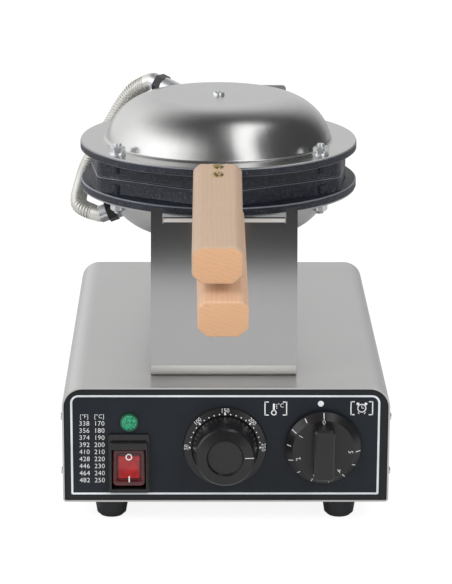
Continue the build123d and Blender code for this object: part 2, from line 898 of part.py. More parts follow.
upper_frame = handle_frame(upper_root, upper_droop, upper_shift, upper_swing)
wood, strip, screws = handle(upper_frame, tongue_low, tongue_high, 1)
nodes["upper_handle"] = wood
nodes["upper_tongue"] = strip
nodes["upper_handle_screws"] = screws
lower_frame = handle_frame(lower_root, lower_droop, lower_shift, lower_swing)
wood, strip, screws = handle(lower_frame, -tongue_high, -tongue_low, -1)
nodes["lower_handle"] = wood
nodes["lower_tongue"] = strip
nodes["lower_handle_screws"] = screws

for name, side in (("upper", 1), ("lower", -1)):
    screws = []
    for x, y in tongue_screw_places:
        place = (axis_x + x, plate_y + y, axis_z + side * (flange_top + dome_sheet))
        length = flange_top + dome_sheet - tongue_low
        screws.append(pan_head_screw(place, (0, 0, side), 3.5, 2.2, 2.0, length))
    for screw in screws:
        nodes[name + "_tongue"] -= screw
    nodes[name + "_tongue_screws"] = group(screws)

# Yoke, hinge pin and hollow shaft


def yoke():
    """A bent bracket: tongue under the lower flange, back plate, and two ears for the pin."""
    under = axis_z - flange_top - dome_sheet
    front = plate_y + 91.5
    back = pin_y + 22.0
    profile = outline(
        [
            (front, under - 6),
            (back, under - 6),
            (back, axis_z + 7),
            (back - 5, axis_z + 7),
            (back - 5, under),
            (front, under),
        ]
    )
    profile = rounded(profile, [(back, under - 6, 7.0), (back - 5, under, 2.0)])
    body = from_side(profile, axis_x - 20, axis_x + 20)
    for side in (-1, 1):
        x0, x1 = sorted((axis_x + side * 14.2, axis_x + side * 20.0))
        body += block(x0, x1, pin_y, back - 4, axis_z - 7.5, axis_z + 7)
        body += rod(7.5, (x0, pin_y, axis_z), (x1, pin_y, axis_z))
    body -= rod(pin_radius + seat_gap, (axis_x - 60, pin_y, axis_z), (axis_x + 60, pin_y, axis_z))
    body -= rod(shaft_bore, (axis_x, back - 10, axis_z), (axis_x, back + 5, axis_z))
    for x, y in yoke_bolt_places:
        place = (axis_x + x, plate_y + y)
        body -= rod(2.5 + seat_gap, (*place, under - 10), (*place, under + 1))
    return body


nodes["yoke"] = yoke()
nodes["yoke_bolts"] = group(
    [
        hexagon(
            8,
            (axis_x + x, plate_y + y, axis_z - flange_top - dome_sheet - 6),
            (axis_x + x, plate_y + y, axis_z - flange_top - dome_sheet - 9.6),
        )
        + rod(
            2.5,
            (axis_x + x, plate_y + y, axis_z - flange_top - dome_sheet - 7),
            (axis_x + x, plate_y + y, axis_z - 6.6),
        )
        for x, y in yoke_bolt_places
    ]
)
pin = rod(pin_radius, (axis_x - 42, pin_y, axis_z), (axis_x + 42, pin_y, axis_z))
for side in (-1, 1):
    pin += rod(6.0, (axis_x + side * 40.2, pin_y, axis_z), (axis_x + side * 42.6, pin_y, axis_z))
nodes["hinge_pin"] = pin

shaft_front = pin_y + 22.0
shaft_back = bush_back + 8.6
shaft = rod(shaft_radius, (axis_x, shaft_front, axis_z), (axis_x, shaft_back, axis_z))
shaft += rod(13.0, (axis_x, shaft_front, axis_z), (axis_x, bush_front - 0.3, axis_z))
shaft -= rod(shaft_bore, (axis_x, shaft_front - 1, axis_z), (axis_x, shaft_back + 1, axis_z))
nodes["swivel_shaft"] = shaft
nodes["shaft_collar"] = ring(
    14.0, shaft_radius + seat_gap, (axis_x, bush_back + 0.3, axis_z), (axis_x, bush_back + 8.3, axis_z)
)

# Flexible hose between the plates: a spline route with ribs of four circles each


def hose_end(seat, way, mirrored, reach):
    """A point on a fitting's line, and the way out of the fitting, in the row's own frame."""
    flip = -1 if mirrored else 1
    place = Vector(axis_x + seat.X, plate_y + seat.Y, axis_z + flip * seat.Z)
    out = Vector(way.X, way.Y, flip * way.Z)
    return place + out * reach, out


hose_low, way_low = hose_end(hose_seat_lower, hose_way_lower, True, 10.0)
hose_low_mid, _ = hose_end(hose_seat_lower, hose_way_lower, True, 12.5)
hose_low_bend, _ = hose_end(hose_seat_lower, hose_way_lower, True, 15.0)
hose_high, way_high = hose_end(hose_seat_upper, hose_way_upper, False, 15.5)
hose_high_mid, _ = hose_end(hose_seat_upper, hose_way_upper, False, 18.5)
hose_high_bend, _ = hose_end(hose_seat_upper, hose_way_upper, False, 21.5)
hose_bends = [
    (-112.2, 144.2, 99.8),
    (-113.4, 155.2, 104.4),
    (-111.7, 169.2, 110.2),
    (-109.7, 181.2, 116.6),
    (-106.6, 187.7, 124.3),
    (-104.0, 191.2, 128.1),
    (-98.0, 202.2, 137.0),
    (-91.7, 211.2, 146.9),
    (-86.7, 215.2, 155.3),
    (-81.6, 216.7, 164.3),
    (-76.3, 217.2, 171.6),
    (-71.3, 216.7, 177.8),
]
route = Spline(
    hose_low,
    hose_low_mid,
    hose_low_bend,
    *[(x, base_front + y, base_top + z) for x, y, z in hose_bends],
    hose_high_bend,
    hose_high_mid,
    hose_high,
    tangents=[way_low, way_high * -1],
)
steady = Vector(-0.231, -0.667, 0.708)


def hose_section(share, radius):
    """A circle across the route, its X axis kept steady so that the lofts don't twist."""
    place = route @ share
    along = route % share
    side = (steady - along * steady.dot(along)).normalized()
    return Plane(origin=place, x_dir=side, z_dir=along) * Circle(radius)


rib_shape = [(0.0, hose_root), (0.25, hose_crest), (0.6, hose_crest), (0.85, hose_root)]
shares = [k / 1000 for k in range(1001)]
first_rib = next(k for k in shares if (route @ k - hose_low).length > hose_plain_end)
last_rib = next(1 - k for k in shares if (route @ (1 - k) - hose_high).length > hose_plain_end)
ribbed = last_rib - first_rib
sections = [hose_section(share, hose_end_radius) for share in (0.0, first_rib - 0.004)]
sections += [
    hose_section(first_rib + ribbed * (rib + share) / hose_ribs, radius)
    for rib in range(hose_ribs)
    for share, radius in rib_shape
]
sections += [hose_section(share, hose_end_radius) for share in (last_rib + 0.004, 1.0)]
hose = loft(sections, ruled=True)
bore_steps = 36
bore = loft([hose_section(k / bore_steps, hose_bore) for k in range(bore_steps + 1)], ruled=True)
nodes["flexible_hose"] = hose - bore

for name, shape in nodes.items():
    shape.label = name
    export_step(shape, f"parts/{name}.step")

whole = Compound(children=list(nodes.values())).bounding_box()
print(len(nodes), "nodes", whole.min, whole.max)
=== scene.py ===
"""The bubble waffle maker's visual model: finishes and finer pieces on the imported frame.

Lengths are metres. -Y is the front, +X the user's right and +Z up.
"""

import logging
from dataclasses import dataclass
from enum import Enum
from math import cos, inf, pi, radians, sin, sqrt
from typing import Callable, Iterable

import bmesh
import bpy
from mathutils import Euler, Matrix, Vector


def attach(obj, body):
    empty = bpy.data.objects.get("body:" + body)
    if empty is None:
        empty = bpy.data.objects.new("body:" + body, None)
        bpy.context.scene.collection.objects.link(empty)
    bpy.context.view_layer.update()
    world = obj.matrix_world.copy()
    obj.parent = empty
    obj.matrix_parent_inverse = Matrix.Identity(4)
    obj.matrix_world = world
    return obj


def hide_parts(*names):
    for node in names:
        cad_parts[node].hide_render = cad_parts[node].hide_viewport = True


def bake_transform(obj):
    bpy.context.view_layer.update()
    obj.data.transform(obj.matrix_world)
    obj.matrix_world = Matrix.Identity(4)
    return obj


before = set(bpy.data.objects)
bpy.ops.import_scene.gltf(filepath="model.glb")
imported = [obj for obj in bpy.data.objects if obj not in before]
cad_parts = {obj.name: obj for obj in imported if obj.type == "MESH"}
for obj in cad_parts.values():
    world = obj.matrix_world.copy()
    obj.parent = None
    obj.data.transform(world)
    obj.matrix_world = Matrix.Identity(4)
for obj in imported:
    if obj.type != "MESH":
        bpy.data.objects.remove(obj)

log = logging.getLogger("waffle_maker")
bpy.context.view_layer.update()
MM = 0.001
Colour = tuple[float, float, float]
Point = tuple[float, float, float]
Flat = tuple[float, float]
Socket = bpy.types.NodeSocket
Node = bpy.types.Node
Value = Socket | float | tuple

# Places that several pieces share, as in the part's source
BASE_FRONT = -125.2 * MM
BASE_TOP = 108.4 * MM
SHEET_FACE = BASE_FRONT + 0.4 * MM
AXIS_X = -5.0 * MM
AXIS_Z = BASE_TOP + 138.7 * MM
PLATE_Y = BASE_FRONT + 135.0 * MM
FLANGE_TOP = 17.5 * MM
DOME_SHEET = 0.8 * MM
DOME_HEIGHT = 33.8 * MM


class Way(Enum):
    """The direction that brushing lines run in, as the turn that brings it to X."""

    X = (0.0, 0.0, 0.0)
    Z = (0.0, pi / 2, 0.0)


class Plate(Enum):
    """One of the two plates, as the way that it stands from the parting plane."""

    UPPER = 1
    LOWER = -1

    @property
    def word(self) -> str:
        """The plate's word in the names of pieces and nodes."""
        return self.name.lower()

    @property
    def body(self) -> str:
        """The body that the plate's pieces ride on."""
        return self.word + "_plate"


# Wiring of node trees


class Wiring:
    """A node tree that is wired in short calls."""

    def __init__(self, tree: bpy.types.NodeTree) -> None:
        """Keeps the tree that nodes are added to."""
        self.tree = tree

    def add(self, kind: str, inputs: dict | None = None, **settings: object) -> Node:
        """Adds a node.

        Args:
            kind: Blender's name of the node type.
            inputs: values or sockets by input name or number.
            **settings: properties of the node itself.

        Returns:
            The new node.
        """
        node = self.tree.nodes.new(kind)
        for name, value in settings.items():
            setattr(node, name, value)
        for name, value in (inputs or {}).items():
            self.feed(node.inputs[name], value)
        return node

    def feed(self, socket: Socket, value: Value | bpy.types.ID) -> None:
        """Links a socket into another, or sets its own value.

        Args:
            socket: the input.
            value: an output to link, or a value to set.
        """
        if isinstance(value, Socket):
            self.tree.links.new(value, socket)
        else:
            socket.default_value = value

    def math(self, operation: str, *values: Value) -> Socket:
        """The result of a Math node on numbers or sockets."""
        return self.add("ShaderNodeMath", dict(enumerate(values)), operation=operation).outputs[0]

    def product(self, first: Value, *others: Value) -> Value:
        """Multiplies numbers or sockets in order.

        Args:
            first: a number or a socket.
            *others: what it is multiplied by.

        Returns:
            The product.
        """
        for other in others:
            first = self.math("MULTIPLY", first, other)
        return first

    def rest(self, value: Value) -> Socket:
        """What a value leaves of 1."""
        return self.math("SUBTRACT", 1.0, value)

    def spread(
        self, value: Value, low: float, high: float, to_low: float, to_high: float
    ) -> Socket:
        """A value moved from one range to another, without running past it."""
        inputs = {0: value, 1: low, 2: high, 3: to_low, 4: to_high}
        return self.add("ShaderNodeMapRange", inputs).outputs[0]

    def ramp(self, value: Value, low: float, high: float) -> Socket:
        """0 below one value and 1 above another, with a soft rise between them."""
        inputs = {0: value, 1: low, 2: high, 3: 0.0, 4: 1.0}
        return self.add("ShaderNodeMapRange", inputs, interpolation_type="SMOOTHSTEP").outputs[0]

    def noise(
        self, vector: Value, scale: Value, detail: float = 3.0, rough: float = 0.55
    ) -> Socket:
        """The plain value of a Noise Texture."""
        inputs = {"Vector": vector, "Scale": scale, "Detail": detail, "Roughness": rough}
        return self.add("ShaderNodeTexNoise", inputs).outputs[0]

    def blend(self, share: Value, first: Value, second: Value) -> Socket:
        """A colour between two others.

        Args:
            share: 0 for the first and 1 for the second.
            first: a colour.
            second: a colour.

        Returns:
            The colour.
        """
        node = self.add("ShaderNodeMix", data_type="RGBA")
        for number, value in ((0, share), (6, first), (7, second)):
            self.feed(node.inputs[number], value)
        return node.outputs[2]

    def scaled(self, vector: Value, scale: Value) -> Socket:
        """A vector multiplied by another, part by part."""
        inputs = {0: vector, 1: scale}
        return self.add("ShaderNodeVectorMath", inputs, operation="MULTIPLY").outputs[0]

    def length(self, vector: Value) -> Socket:
        """The length of a vector."""
        return self.add("ShaderNodeVectorMath", {0: vector}, operation="LENGTH").outputs["Value"]

    def combined(self, inputs: dict[int, Value]) -> Socket:
        """A vector from its parts, by their number."""
        return self.add("ShaderNodeCombineXYZ", inputs).outputs[0]

    def end_geometry(self, start: Node, end: Node, geometry: Socket) -> None:
        """Ends a Geometry Nodes tree in real geometry, in the tree's Material.

        Args:
            start: the tree's input node.
            end: its output node.
            geometry: what the tree made.
        """
        real = self.add("GeometryNodeRealizeInstances", {0: geometry}).outputs[0]
        inputs = {"Geometry": real, "Material": start.outputs["Material"]}
        self.feed(end.inputs[0], self.add("GeometryNodeSetMaterial", inputs).outputs[0])


Build = Callable[[Wiring, Node, Node], None]
Sockets = tuple[tuple[str, str], ...]


def node_group(
    name: str, kind: str, inputs: Sockets, outputs: Sockets, build: Build
) -> bpy.types.NodeTree:
    """A node group, made once.

    Args:
        name: the group's name.
        kind: Blender's name of the tree type.
        inputs: name and socket type of each input.
        outputs: name and socket type of each output.
        build: wires the inside, from the wiring, the group's input node and its output node.

    Returns:
        The group.
    """
    if name in bpy.data.node_groups:
        return bpy.data.node_groups[name]
    group = bpy.data.node_groups.new(name, kind)
    for in_out, sockets in (("INPUT", inputs), ("OUTPUT", outputs)):
        for socket, socket_type in sockets:
            group.interface.new_socket(socket, in_out=in_out, socket_type=socket_type)
    wiring = Wiring(group)
    build(wiring, wiring.add("NodeGroupInput"), wiring.add("NodeGroupOutput"))
    return group


# Shader effects that materials share


@dataclass(frozen=True)
class Effect:
    """A shader node group that takes a Vector and a Size and puts out plain values."""

    name: str
    outputs: tuple[str, ...]
    build: Build

    def place(self, w: Wiring, at: Value, size: float) -> Node:
        """The effect's node in a material, with its Vector and Size set.

        Args:
            w: wiring of the material's tree.
            at: where the effect is read.
            size: its Size.

        Returns:
            The node.
        """
        inputs = (("Vector", "NodeSocketVector"), ("Size", "NodeSocketFloat"))
        outputs = tuple((output, "NodeSocketFloat") for output in self.outputs)
        group = node_group(self.name, "ShaderNodeTree", inputs, outputs, self.build)
        node = w.add("ShaderNodeGroup", node_tree=group)
        w.feed(node.inputs["Vector"], at)
        w.feed(node.inputs["Size"], size)
        return node


def _wire_lines(w: Wiring, start: Node, end: Node) -> None:
    """Fine parallel lines along X, each a Size wide, as a brush leaves in steel.

    Args:
        w: wiring of the group.
        start: the group's input node.
        end: its output node.
    """
    along, band_scale = 14.0, 0.09
    share = w.math("DIVIDE", 1.0, start.outputs["Size"])
    at = w.scaled(start.outputs["Vector"], w.combined({0: along, 1: share, 2: share}))
    w.feed(end.inputs["Lines"], w.noise(at, 1.0, rough=0.65))
    w.feed(end.inputs["Bands"], w.noise(at, band_scale, 2.0))


def _wire_grains(w: Wiring, start: Node, end: Node) -> None:
    """Close round grains of one Size, and a few of them marked out for painted glints.

    Args:
        w: wiring of the group.
        start: the group's input node.
        end: its output node.
    """
    share = w.math("DIVIDE", 1.0, start.outputs["Size"])
    cells = w.add("ShaderNodeTexVoronoi", {"Vector": start.outputs["Vector"], "Scale": share})
    grain, glint, chosen = (0.1, 0.7), (0.2, 0.55), (0.60, 0.95)
    distance = cells.outputs["Distance"]
    w.feed(end.inputs["Height"], w.spread(distance, *grain, 1.0, 0.0))
    parts = w.add("ShaderNodeSeparateXYZ", {0: cells.outputs["Color"]})
    bright = w.spread(parts.outputs[0], *chosen, 0.0, 1.0)
    round_one = w.spread(distance, *glint, 1.0, 0.0)
    w.feed(end.inputs["Specks"], w.product(bright, round_one))


def _wire_patches(w: Wiring, start: Node, end: Node) -> None:
    """Broad soft patches, for handling marks and uneven colour.

    Args:
        w: wiring of the group.
        start: the group's input node.
        end: its output node.
    """
    share = w.math("DIVIDE", 1.0, start.outputs["Size"])
    patches = w.noise(start.outputs["Vector"], share, 4.0)
    w.feed(end.inputs["Patches"], w.spread(patches, 0.3, 0.7, 0.0, 1.0))


def _wire_timber(w: Wiring, start: Node, end: Node) -> None:
    """Beech with its grain along Y: soft growth bands and short dark flecks.

    Args:
        w: wiring of the group.
        start: the group's input node.
        end: its output node.
    """
    stretch, wander_scale, band_scale, fleck_scale = 0.09, 0.35, 0.16, 3.2
    at = w.scaled(start.outputs["Vector"], (1.0, stretch, 1.0))
    share = w.math("DIVIDE", 1.0, start.outputs["Size"])
    wander = w.noise(at, w.product(share, wander_scale), 2.0)
    scale = w.product(share, band_scale)
    wave = {"Vector": at, "Scale": scale, "Distortion": 5.0, "Detail": 2.0}
    bands = w.add("ShaderNodeTexWave", wave).outputs[1]
    w.feed(end.inputs["Bands"], w.product(bands, w.spread(wander, 0.3, 0.7, 0.3, 1.0)))
    flecks = w.noise(at, w.product(share, fleck_scale), 1.0)
    w.feed(end.inputs["Flecks"], w.spread(flecks, 0.60, 0.70, 0.0, 1.0))


LINES = Effect("brush_lines", ("Lines", "Bands"), _wire_lines)
GRAINS = Effect("close_grains", ("Height", "Specks"), _wire_grains)
PATCHES = Effect("soft_patches", ("Patches",), _wire_patches)
TIMBER = Effect("beech_grain", ("Bands", "Flecks"), _wire_timber)


# Finishes


def shade(colour: Colour, share: float = 1.0, lift: float = 0.0) -> tuple[float, ...]:
    """A colour made darker or lighter, with full alpha."""
    return (*(part * share + lift for part in colour), 1.0)


@dataclass(frozen=True)
class Finish:
    """A surface finish; each kind wires its own material."""

    name: str
    colour: Colour
    roughness: float = 0.4
    metallic: float = 0.0
    shine: float = 0.5

    def material(self) -> bpy.types.Material:
        """Makes the finish's material, or finds it.

        Returns:
            The material.
        """
        name = "finish_" + self.name
        if name in bpy.data.materials:
            return bpy.data.materials[name]
        made = bpy.data.materials.new(name)
        made.use_nodes = True
        made.diffuse_color = shade(self.colour)
        wiring = Wiring(made.node_tree)
        shader = made.node_tree.nodes["Principled BSDF"]
        shader.inputs["Base Color"].default_value = shade(self.colour)
        shader.inputs["Roughness"].default_value = self.roughness
        shader.inputs["Metallic"].default_value = self.metallic
        shader.inputs["Specular IOR Level"].default_value = self.shine
        self.wire(wiring, shader, wiring.add("ShaderNodeTexCoord").outputs["Object"])
        return made

    def wire(self, w: Wiring, shader: Node, at: Socket) -> None:
        """Adds what this finish has beyond a plain colour.

        Args:
            w: wiring of the material's tree.
            shader: its Principled BSDF.
            at: Object coordinates.
        """

    def bump(self, w: Wiring, shader: Node, height: Socket, strength: float, depth: float) -> None:
        """Feeds a height into the shader's normal."""
        inputs = {"Height": height, "Strength": strength, "Distance": depth}
        w.feed(shader.inputs["Normal"], w.add("ShaderNodeBump", inputs).outputs[0])

    def uneven(self, w: Wiring, shader: Node, share: Socket, low: float, high: float) -> None:
        """Lets a value from 0 to 1 move the roughness between two shares of its own."""
        rough = w.spread(share, 0.0, 1.0, self.roughness * low, self.roughness * high)
        w.feed(shader.inputs["Roughness"], rough)


@dataclass(frozen=True)
class Brushed(Finish):
    """Brushed sheet steel."""

    metallic: float = 1.0
    way: Way = Way.X
    line_width: float = 0.5 * MM
    depth: float = 0.008 * MM
    shades: Flat = (0.93, 1.06)
    gloss: Flat = (0.97, 1.03)
    patch: float = 60 * MM
    patch_gloss: float = 0.015

    def wire(self, w: Wiring, shader: Node, at: Socket) -> None:
        """Brushing lines in colour, gloss and relief, with faint handling patches.

        Args:
            w: wiring of the material's tree.
            shader: its Principled BSDF.
            at: Object coordinates.
        """
        turn = {"Vector": at, "Rotation": self.way.value}
        turned_at = w.add("ShaderNodeMapping", turn).outputs[0]
        lines = LINES.place(w, turned_at, self.line_width)
        patches = PATCHES.place(w, at, self.patch).outputs[0]
        darker, lighter = (shade(self.colour, share) for share in self.shades)
        w.feed(shader.inputs["Base Color"], w.blend(lines.outputs["Lines"], darker, lighter))
        low, high = (self.roughness * share for share in self.gloss)
        rough = w.spread(lines.outputs["Bands"], 0.3, 0.7, low, high)
        rough = w.math("ADD", rough, w.product(patches, self.patch_gloss))
        w.feed(shader.inputs["Roughness"], rough)
        self.bump(w, shader, lines.outputs["Lines"], 0.25, self.depth)


@dataclass(frozen=True)
class Cast(Finish):
    """A sand-cast surface with a dark seasoned coat."""

    grain: float = 0.8 * MM
    speck_colour: Colour = (0.30, 0.32, 0.38)
    patch: float = 22 * MM
    worn: float = 1.5
    relief: float = 0.15 * MM

    def wire(self, w: Wiring, shader: Node, at: Socket) -> None:
        """Grains in relief, painted glints on a few grains, and worn patches.

        Args:
            w: wiring of the material's tree.
            shader: its Principled BSDF.
            at: Object coordinates.
        """
        grains = GRAINS.place(w, at, self.grain)
        patches = PATCHES.place(w, at, self.patch).outputs[0]
        base = w.blend(patches, shade(self.colour), shade(self.colour, self.worn))
        # A few grains are painted lighter, as glints.
        with_glints = w.blend(grains.outputs["Specks"], base, shade(self.speck_colour))
        w.feed(shader.inputs["Base Color"], with_glints)
        self.uneven(w, shader, grains.outputs["Height"], 1.2, 0.8)
        self.bump(w, shader, grains.outputs["Height"], 0.6, self.relief)


@dataclass(frozen=True)
class Moulded(Finish):
    """A moulded or painted skin with a fine grain."""

    grain: float = 0.5 * MM
    relief: float = 0.02 * MM
    patch: float = 30 * MM
    faded: Flat = (1.25, 0.002)

    def wire(self, w: Wiring, shader: Node, at: Socket) -> None:
        """A fine grain in relief and a little unevenness in gloss.

        Args:
            w: wiring of the material's tree.
            shader: its Principled BSDF.
            at: Object coordinates.
        """
        grains = GRAINS.place(w, at, self.grain)
        patches = PATCHES.place(w, at, self.patch).outputs[0]
        colour = w.blend(patches, shade(self.colour), shade(self.colour, *self.faded))
        w.feed(shader.inputs["Base Color"], colour)
        self.uneven(w, shader, patches, 0.9, 1.1)
        self.bump(w, shader, grains.outputs["Height"], 0.4, self.relief)


@dataclass(frozen=True)
class Timber(Finish):
    """Oiled beech, its grain along a handle that droops from -Y."""

    fleck: Colour = (0.42, 0.27, 0.17)
    band: Colour = (0.50, 0.34, 0.23)
    bands: float = 0.28
    flecks: float = 0.35
    droop: float = 0.0
    turn: float = 0.0
    grain: float = 1.6 * MM
    patch: float = 18 * MM
    patches: float = 0.16
    relief: float = -0.05 * MM

    def wire(self, w: Wiring, shader: Node, at: Socket) -> None:
        """Growth bands, flecks and a silky relief.

        Args:
            w: wiring of the material's tree.
            shader: its Principled BSDF.
            at: Object coordinates.
        """
        rotation = (-self.droop, self.turn, 0)
        along = w.add("ShaderNodeMapping", {"Vector": at, "Rotation": rotation}).outputs[0]
        grain = TIMBER.place(w, along, self.grain)
        patches = PATCHES.place(w, along, self.patch).outputs[0]
        bands, flecks = grain.outputs["Bands"], grain.outputs["Flecks"]
        colour = w.blend(w.product(bands, self.bands), shade(self.colour), shade(self.band))
        colour = w.blend(w.product(patches, self.patches), colour, shade(self.band))
        colour = w.blend(w.product(flecks, self.flecks), colour, shade(self.fleck))
        w.feed(shader.inputs["Base Color"], colour)
        self.uneven(w, shader, bands, 1.0, 1.2)
        self.bump(w, shader, flecks, 0.25, self.relief)


@dataclass(frozen=True)
class Lens(Finish):
    """Clear coloured plastic with light behind it."""

    glow: float = 0.1
    cells: float = 0.0
    cell_dark: float = 0.25
    patch: float = 6 * MM
    patch_dark: float = 0.55
    coat: float = 0.6
    coat_roughness: float = 0.08

    def wire(self, w: Wiring, shader: Node, at: Socket) -> None:
        """Cells or patches that let more or less of the light through, under a glossy skin.

        Args:
            w: wiring of the material's tree.
            shader: its Principled BSDF.
            at: Object coordinates.
        """
        if self.cells:
            share, dark = GRAINS.place(w, at, self.cells).outputs["Height"], self.cell_dark
        else:
            share, dark = PATCHES.place(w, at, self.patch).outputs[0], self.patch_dark
        colour = w.blend(share, shade(self.colour, dark), shade(self.colour))
        w.feed(shader.inputs["Base Color"], colour)
        w.feed(shader.inputs["Emission Color"], colour)
        shader.inputs["Emission Strength"].default_value = self.glow
        shader.inputs["Coat Weight"].default_value = self.coat
        shader.inputs["Coat Roughness"].default_value = self.coat_roughness


STEEL_X = Brushed("brushed_steel_across", (0.60, 0.60, 0.595), 0.30, metallic=0.75)
# A pale, less metallic steel that paints the highlights on the front post's bends.
HIGHLIGHT_STEEL = Brushed("bright_hem", (0.80, 0.79, 0.77), 0.34, metallic=0.35)
STEEL_Z = Brushed(
    "brushed_steel_upright",
    (0.45, 0.45, 0.45),
    0.12,
    way=Way.Z,
    line_width=0.35 * MM,
    depth=0.003 * MM,
)
SPUN = Brushed(
    "spun_steel_dome", (0.62, 0.62, 0.615), 0.235, line_width=0.45 * MM, depth=0.004 * MM
)
# The lower dome's spun steel is darker: painted shade under the upper plate.
SPUN_SHADED = Brushed(
    "spun_steel_lower_dome", (0.43, 0.435, 0.43), 0.28, line_width=0.45 * MM, depth=0.004 * MM
)
PLAIN_STEEL = Brushed("plain_steel", (0.42, 0.42, 0.42), 0.38, line_width=0.8 * MM)
HOSE_STEEL = Brushed(
    "hose_steel", (0.72, 0.71, 0.67), 0.34, metallic=0.85, line_width=0.9 * MM, depth=0.0005 * MM
)
ZINC = Brushed("bright_zinc", (0.74, 0.76, 0.78), 0.26, metallic=0.8, line_width=0.7 * MM)
BRASS = Brushed("yellow_brass", (0.60, 0.46, 0.24), 0.26, line_width=0.6 * MM)
# A lighter iron for the cast rings' narrow edges: a painted highlight.
IRON_EDGE_HIGHLIGHT = Cast("worn_iron_edge", (0.20, 0.21, 0.24), 0.34, metallic=0.5)
# Both cast irons paint a few grains lighter, as glints.
IRON = Cast("cast_iron", (0.009, 0.011, 0.018), 0.42, shine=0.42, speck_colour=(0.11, 0.115, 0.145))
PAN_IRON = Cast(
    "seasoned_pan", (0.017, 0.018, 0.020), 0.40, grain=0.5 * MM, speck_colour=(0.10, 0.10, 0.11)
)
BLACK_PANEL = Moulded(
    "black_panel", (0.011, 0.012, 0.014), 0.36, shine=0.28, grain=0.35 * MM, relief=0.006 * MM
)
BLACK_SHEET = Moulded(
    "black_face_sheet", (0.010, 0.013, 0.018), 0.42, shine=0.25, grain=0.3 * MM, relief=0.006 * MM
)
BLACK_PLASTIC = Moulded(
    "black_plastic", (0.009, 0.009, 0.010), 0.24, grain=0.4 * MM, relief=0.010 * MM
)
DIAL_PLASTIC = Moulded(
    "black_dial_plastic", (0.010, 0.010, 0.011), 0.30, grain=0.45 * MM, relief=0.03 * MM
)
RUBBER = Moulded("black_rubber", (0.014, 0.015, 0.017), 0.55, grain=0.8 * MM, relief=0.03 * MM)
WHITE_PLASTIC = Moulded("white_plastic", (0.72, 0.71, 0.68), 0.45)
FIBRE = Moulded("fibre_blanket", (0.72, 0.69, 0.62), 0.9, grain=1.4 * MM, relief=0.4 * MM)
WHITE_INK = Moulded("white_ink", (0.72, 0.73, 0.74), 0.45, grain=0.2 * MM, relief=0.004 * MM)
SILVER_INK = Moulded("silver_ink", (0.62, 0.66, 0.70), 0.40, grain=0.3 * MM, relief=0.004 * MM)
GREEN_LENS = Lens("green_lens", (0.015, 0.48, 0.23), 0.18, glow=0.2, cells=1.25 * MM)
GREEN_RIM = Lens("green_lens_rim", (0.004, 0.09, 0.045), 0.2, glow=0.05)
RED_EDGE = Lens("red_rocker_edge", (0.085, 0.008, 0.010), 0.25, glow=0.05)
RED_FACE = Lens("red_rocker_face", (0.40, 0.010, 0.013), 0.28, glow=0.14)


# Making pieces


def dress(mesh: bpy.types.Mesh, *finishes: Finish) -> None:
    """Gives a mesh its finishes.

    Args:
        mesh: the mesh.
        *finishes: the finishes, in the order of its material slots.
    """
    mesh.materials.clear()
    for finish in finishes:
        mesh.materials.append(finish.material())


def new_object(name: str, data: bpy.types.ID) -> bpy.types.Object:
    """Puts a new object in the scene.

    Args:
        name: the object's name.
        data: its mesh, curve, lamp or camera.

    Returns:
        The object.
    """
    made = bpy.data.objects.new(name, data)
    bpy.context.scene.collection.objects.link(made)
    return made


def baked(holder: bpy.types.Object) -> bpy.types.Mesh:
    """The plain mesh that an object shows with its modifiers; the object is removed.

    Args:
        holder: the object.

    Returns:
        Its mesh.
    """
    bpy.context.view_layer.update()
    seen = holder.evaluated_get(bpy.context.evaluated_depsgraph_get())
    mesh = bpy.data.meshes.new_from_object(seen)
    bpy.data.objects.remove(holder)
    return mesh


def add_piece(
    name: str,
    mesh: bpy.types.Mesh,
    finish: Finish | None,
    body: str | None,
    replaces: Iterable[str] = (),
) -> bpy.types.Object:
    """Adds a finished mesh to the scene and lets it ride on a body.

    Args:
        name: the piece's name.
        mesh: its mesh, in the row frame.
        finish: its finish, or None where the mesh has its materials.
        body: the body it rides on, or None to leave it on no body.
        replaces: the CAD nodes that it stands for.

    Returns:
        The new object.
    """
    mesh.name = name
    if finish is not None:
        dress(mesh, finish)
    piece = new_object(name, mesh)
    if body is not None:
        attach(piece, body)
    if replaces:
        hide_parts(*replaces)
    log.info("%s: %d faces", name, len(mesh.polygons))
    return piece


def smooth(mesh: bpy.types.Mesh, angle: float = 32.0) -> bpy.types.Mesh:
    """Shades a mesh smooth.

    Args:
        mesh: the mesh, changed in place.
        angle: edges sharper than this stay sharp, in degrees.

    Returns:
        The same mesh.
    """
    mesh.polygons.foreach_set("use_smooth", [True] * len(mesh.polygons))
    mesh.set_sharp_from_angle(angle=radians(angle))
    return mesh


def to_mesh(made: bmesh.types.BMesh, name: str = "made") -> bpy.types.Mesh:
    """A bmesh as a mesh; the bmesh is freed.

    Args:
        made: the bmesh.
        name: the mesh's name.

    Returns:
        The mesh.
    """
    mesh = bpy.data.meshes.new(name)
    made.to_mesh(mesh)
    made.free()
    return mesh


def from_bmesh(made: bmesh.types.BMesh, angle: float = 32.0) -> bpy.types.Mesh:
    """A mesh from a bmesh, its doubles merged and its faces turned outwards.

    Args:
        made: the bmesh, which is freed.
        angle: edges sharper than this stay sharp, in degrees.

    Returns:
        The mesh.
    """
    bmesh.ops.remove_doubles(made, verts=made.verts, dist=1e-6)
    bmesh.ops.recalc_face_normals(made, faces=made.faces)
    return smooth(to_mesh(made), angle)


def bridge(made: bmesh.types.BMesh, rows: list[list[bmesh.types.BMVert]]) -> None:
    """Joins each closed row of points to the next by a band of faces.

    Args:
        made: the bmesh.
        rows: rows of as many points each.
    """
    for low, high in zip(rows, rows[1:]):
        for k in range(len(low)):
            after = (k + 1) % len(low)
            made.faces.new((low[k], low[after], high[after], high[k]))


Outline = Callable[[float], float]


def hexagon(flats: float, radius: float = inf) -> Outline:
    """The reach of a hexagon by its width across flats, its corners cut to a radius."""
    return lambda angle: min(radius, flats / 2 / cos((angle + pi / 6) % (pi / 3) - pi / 6))


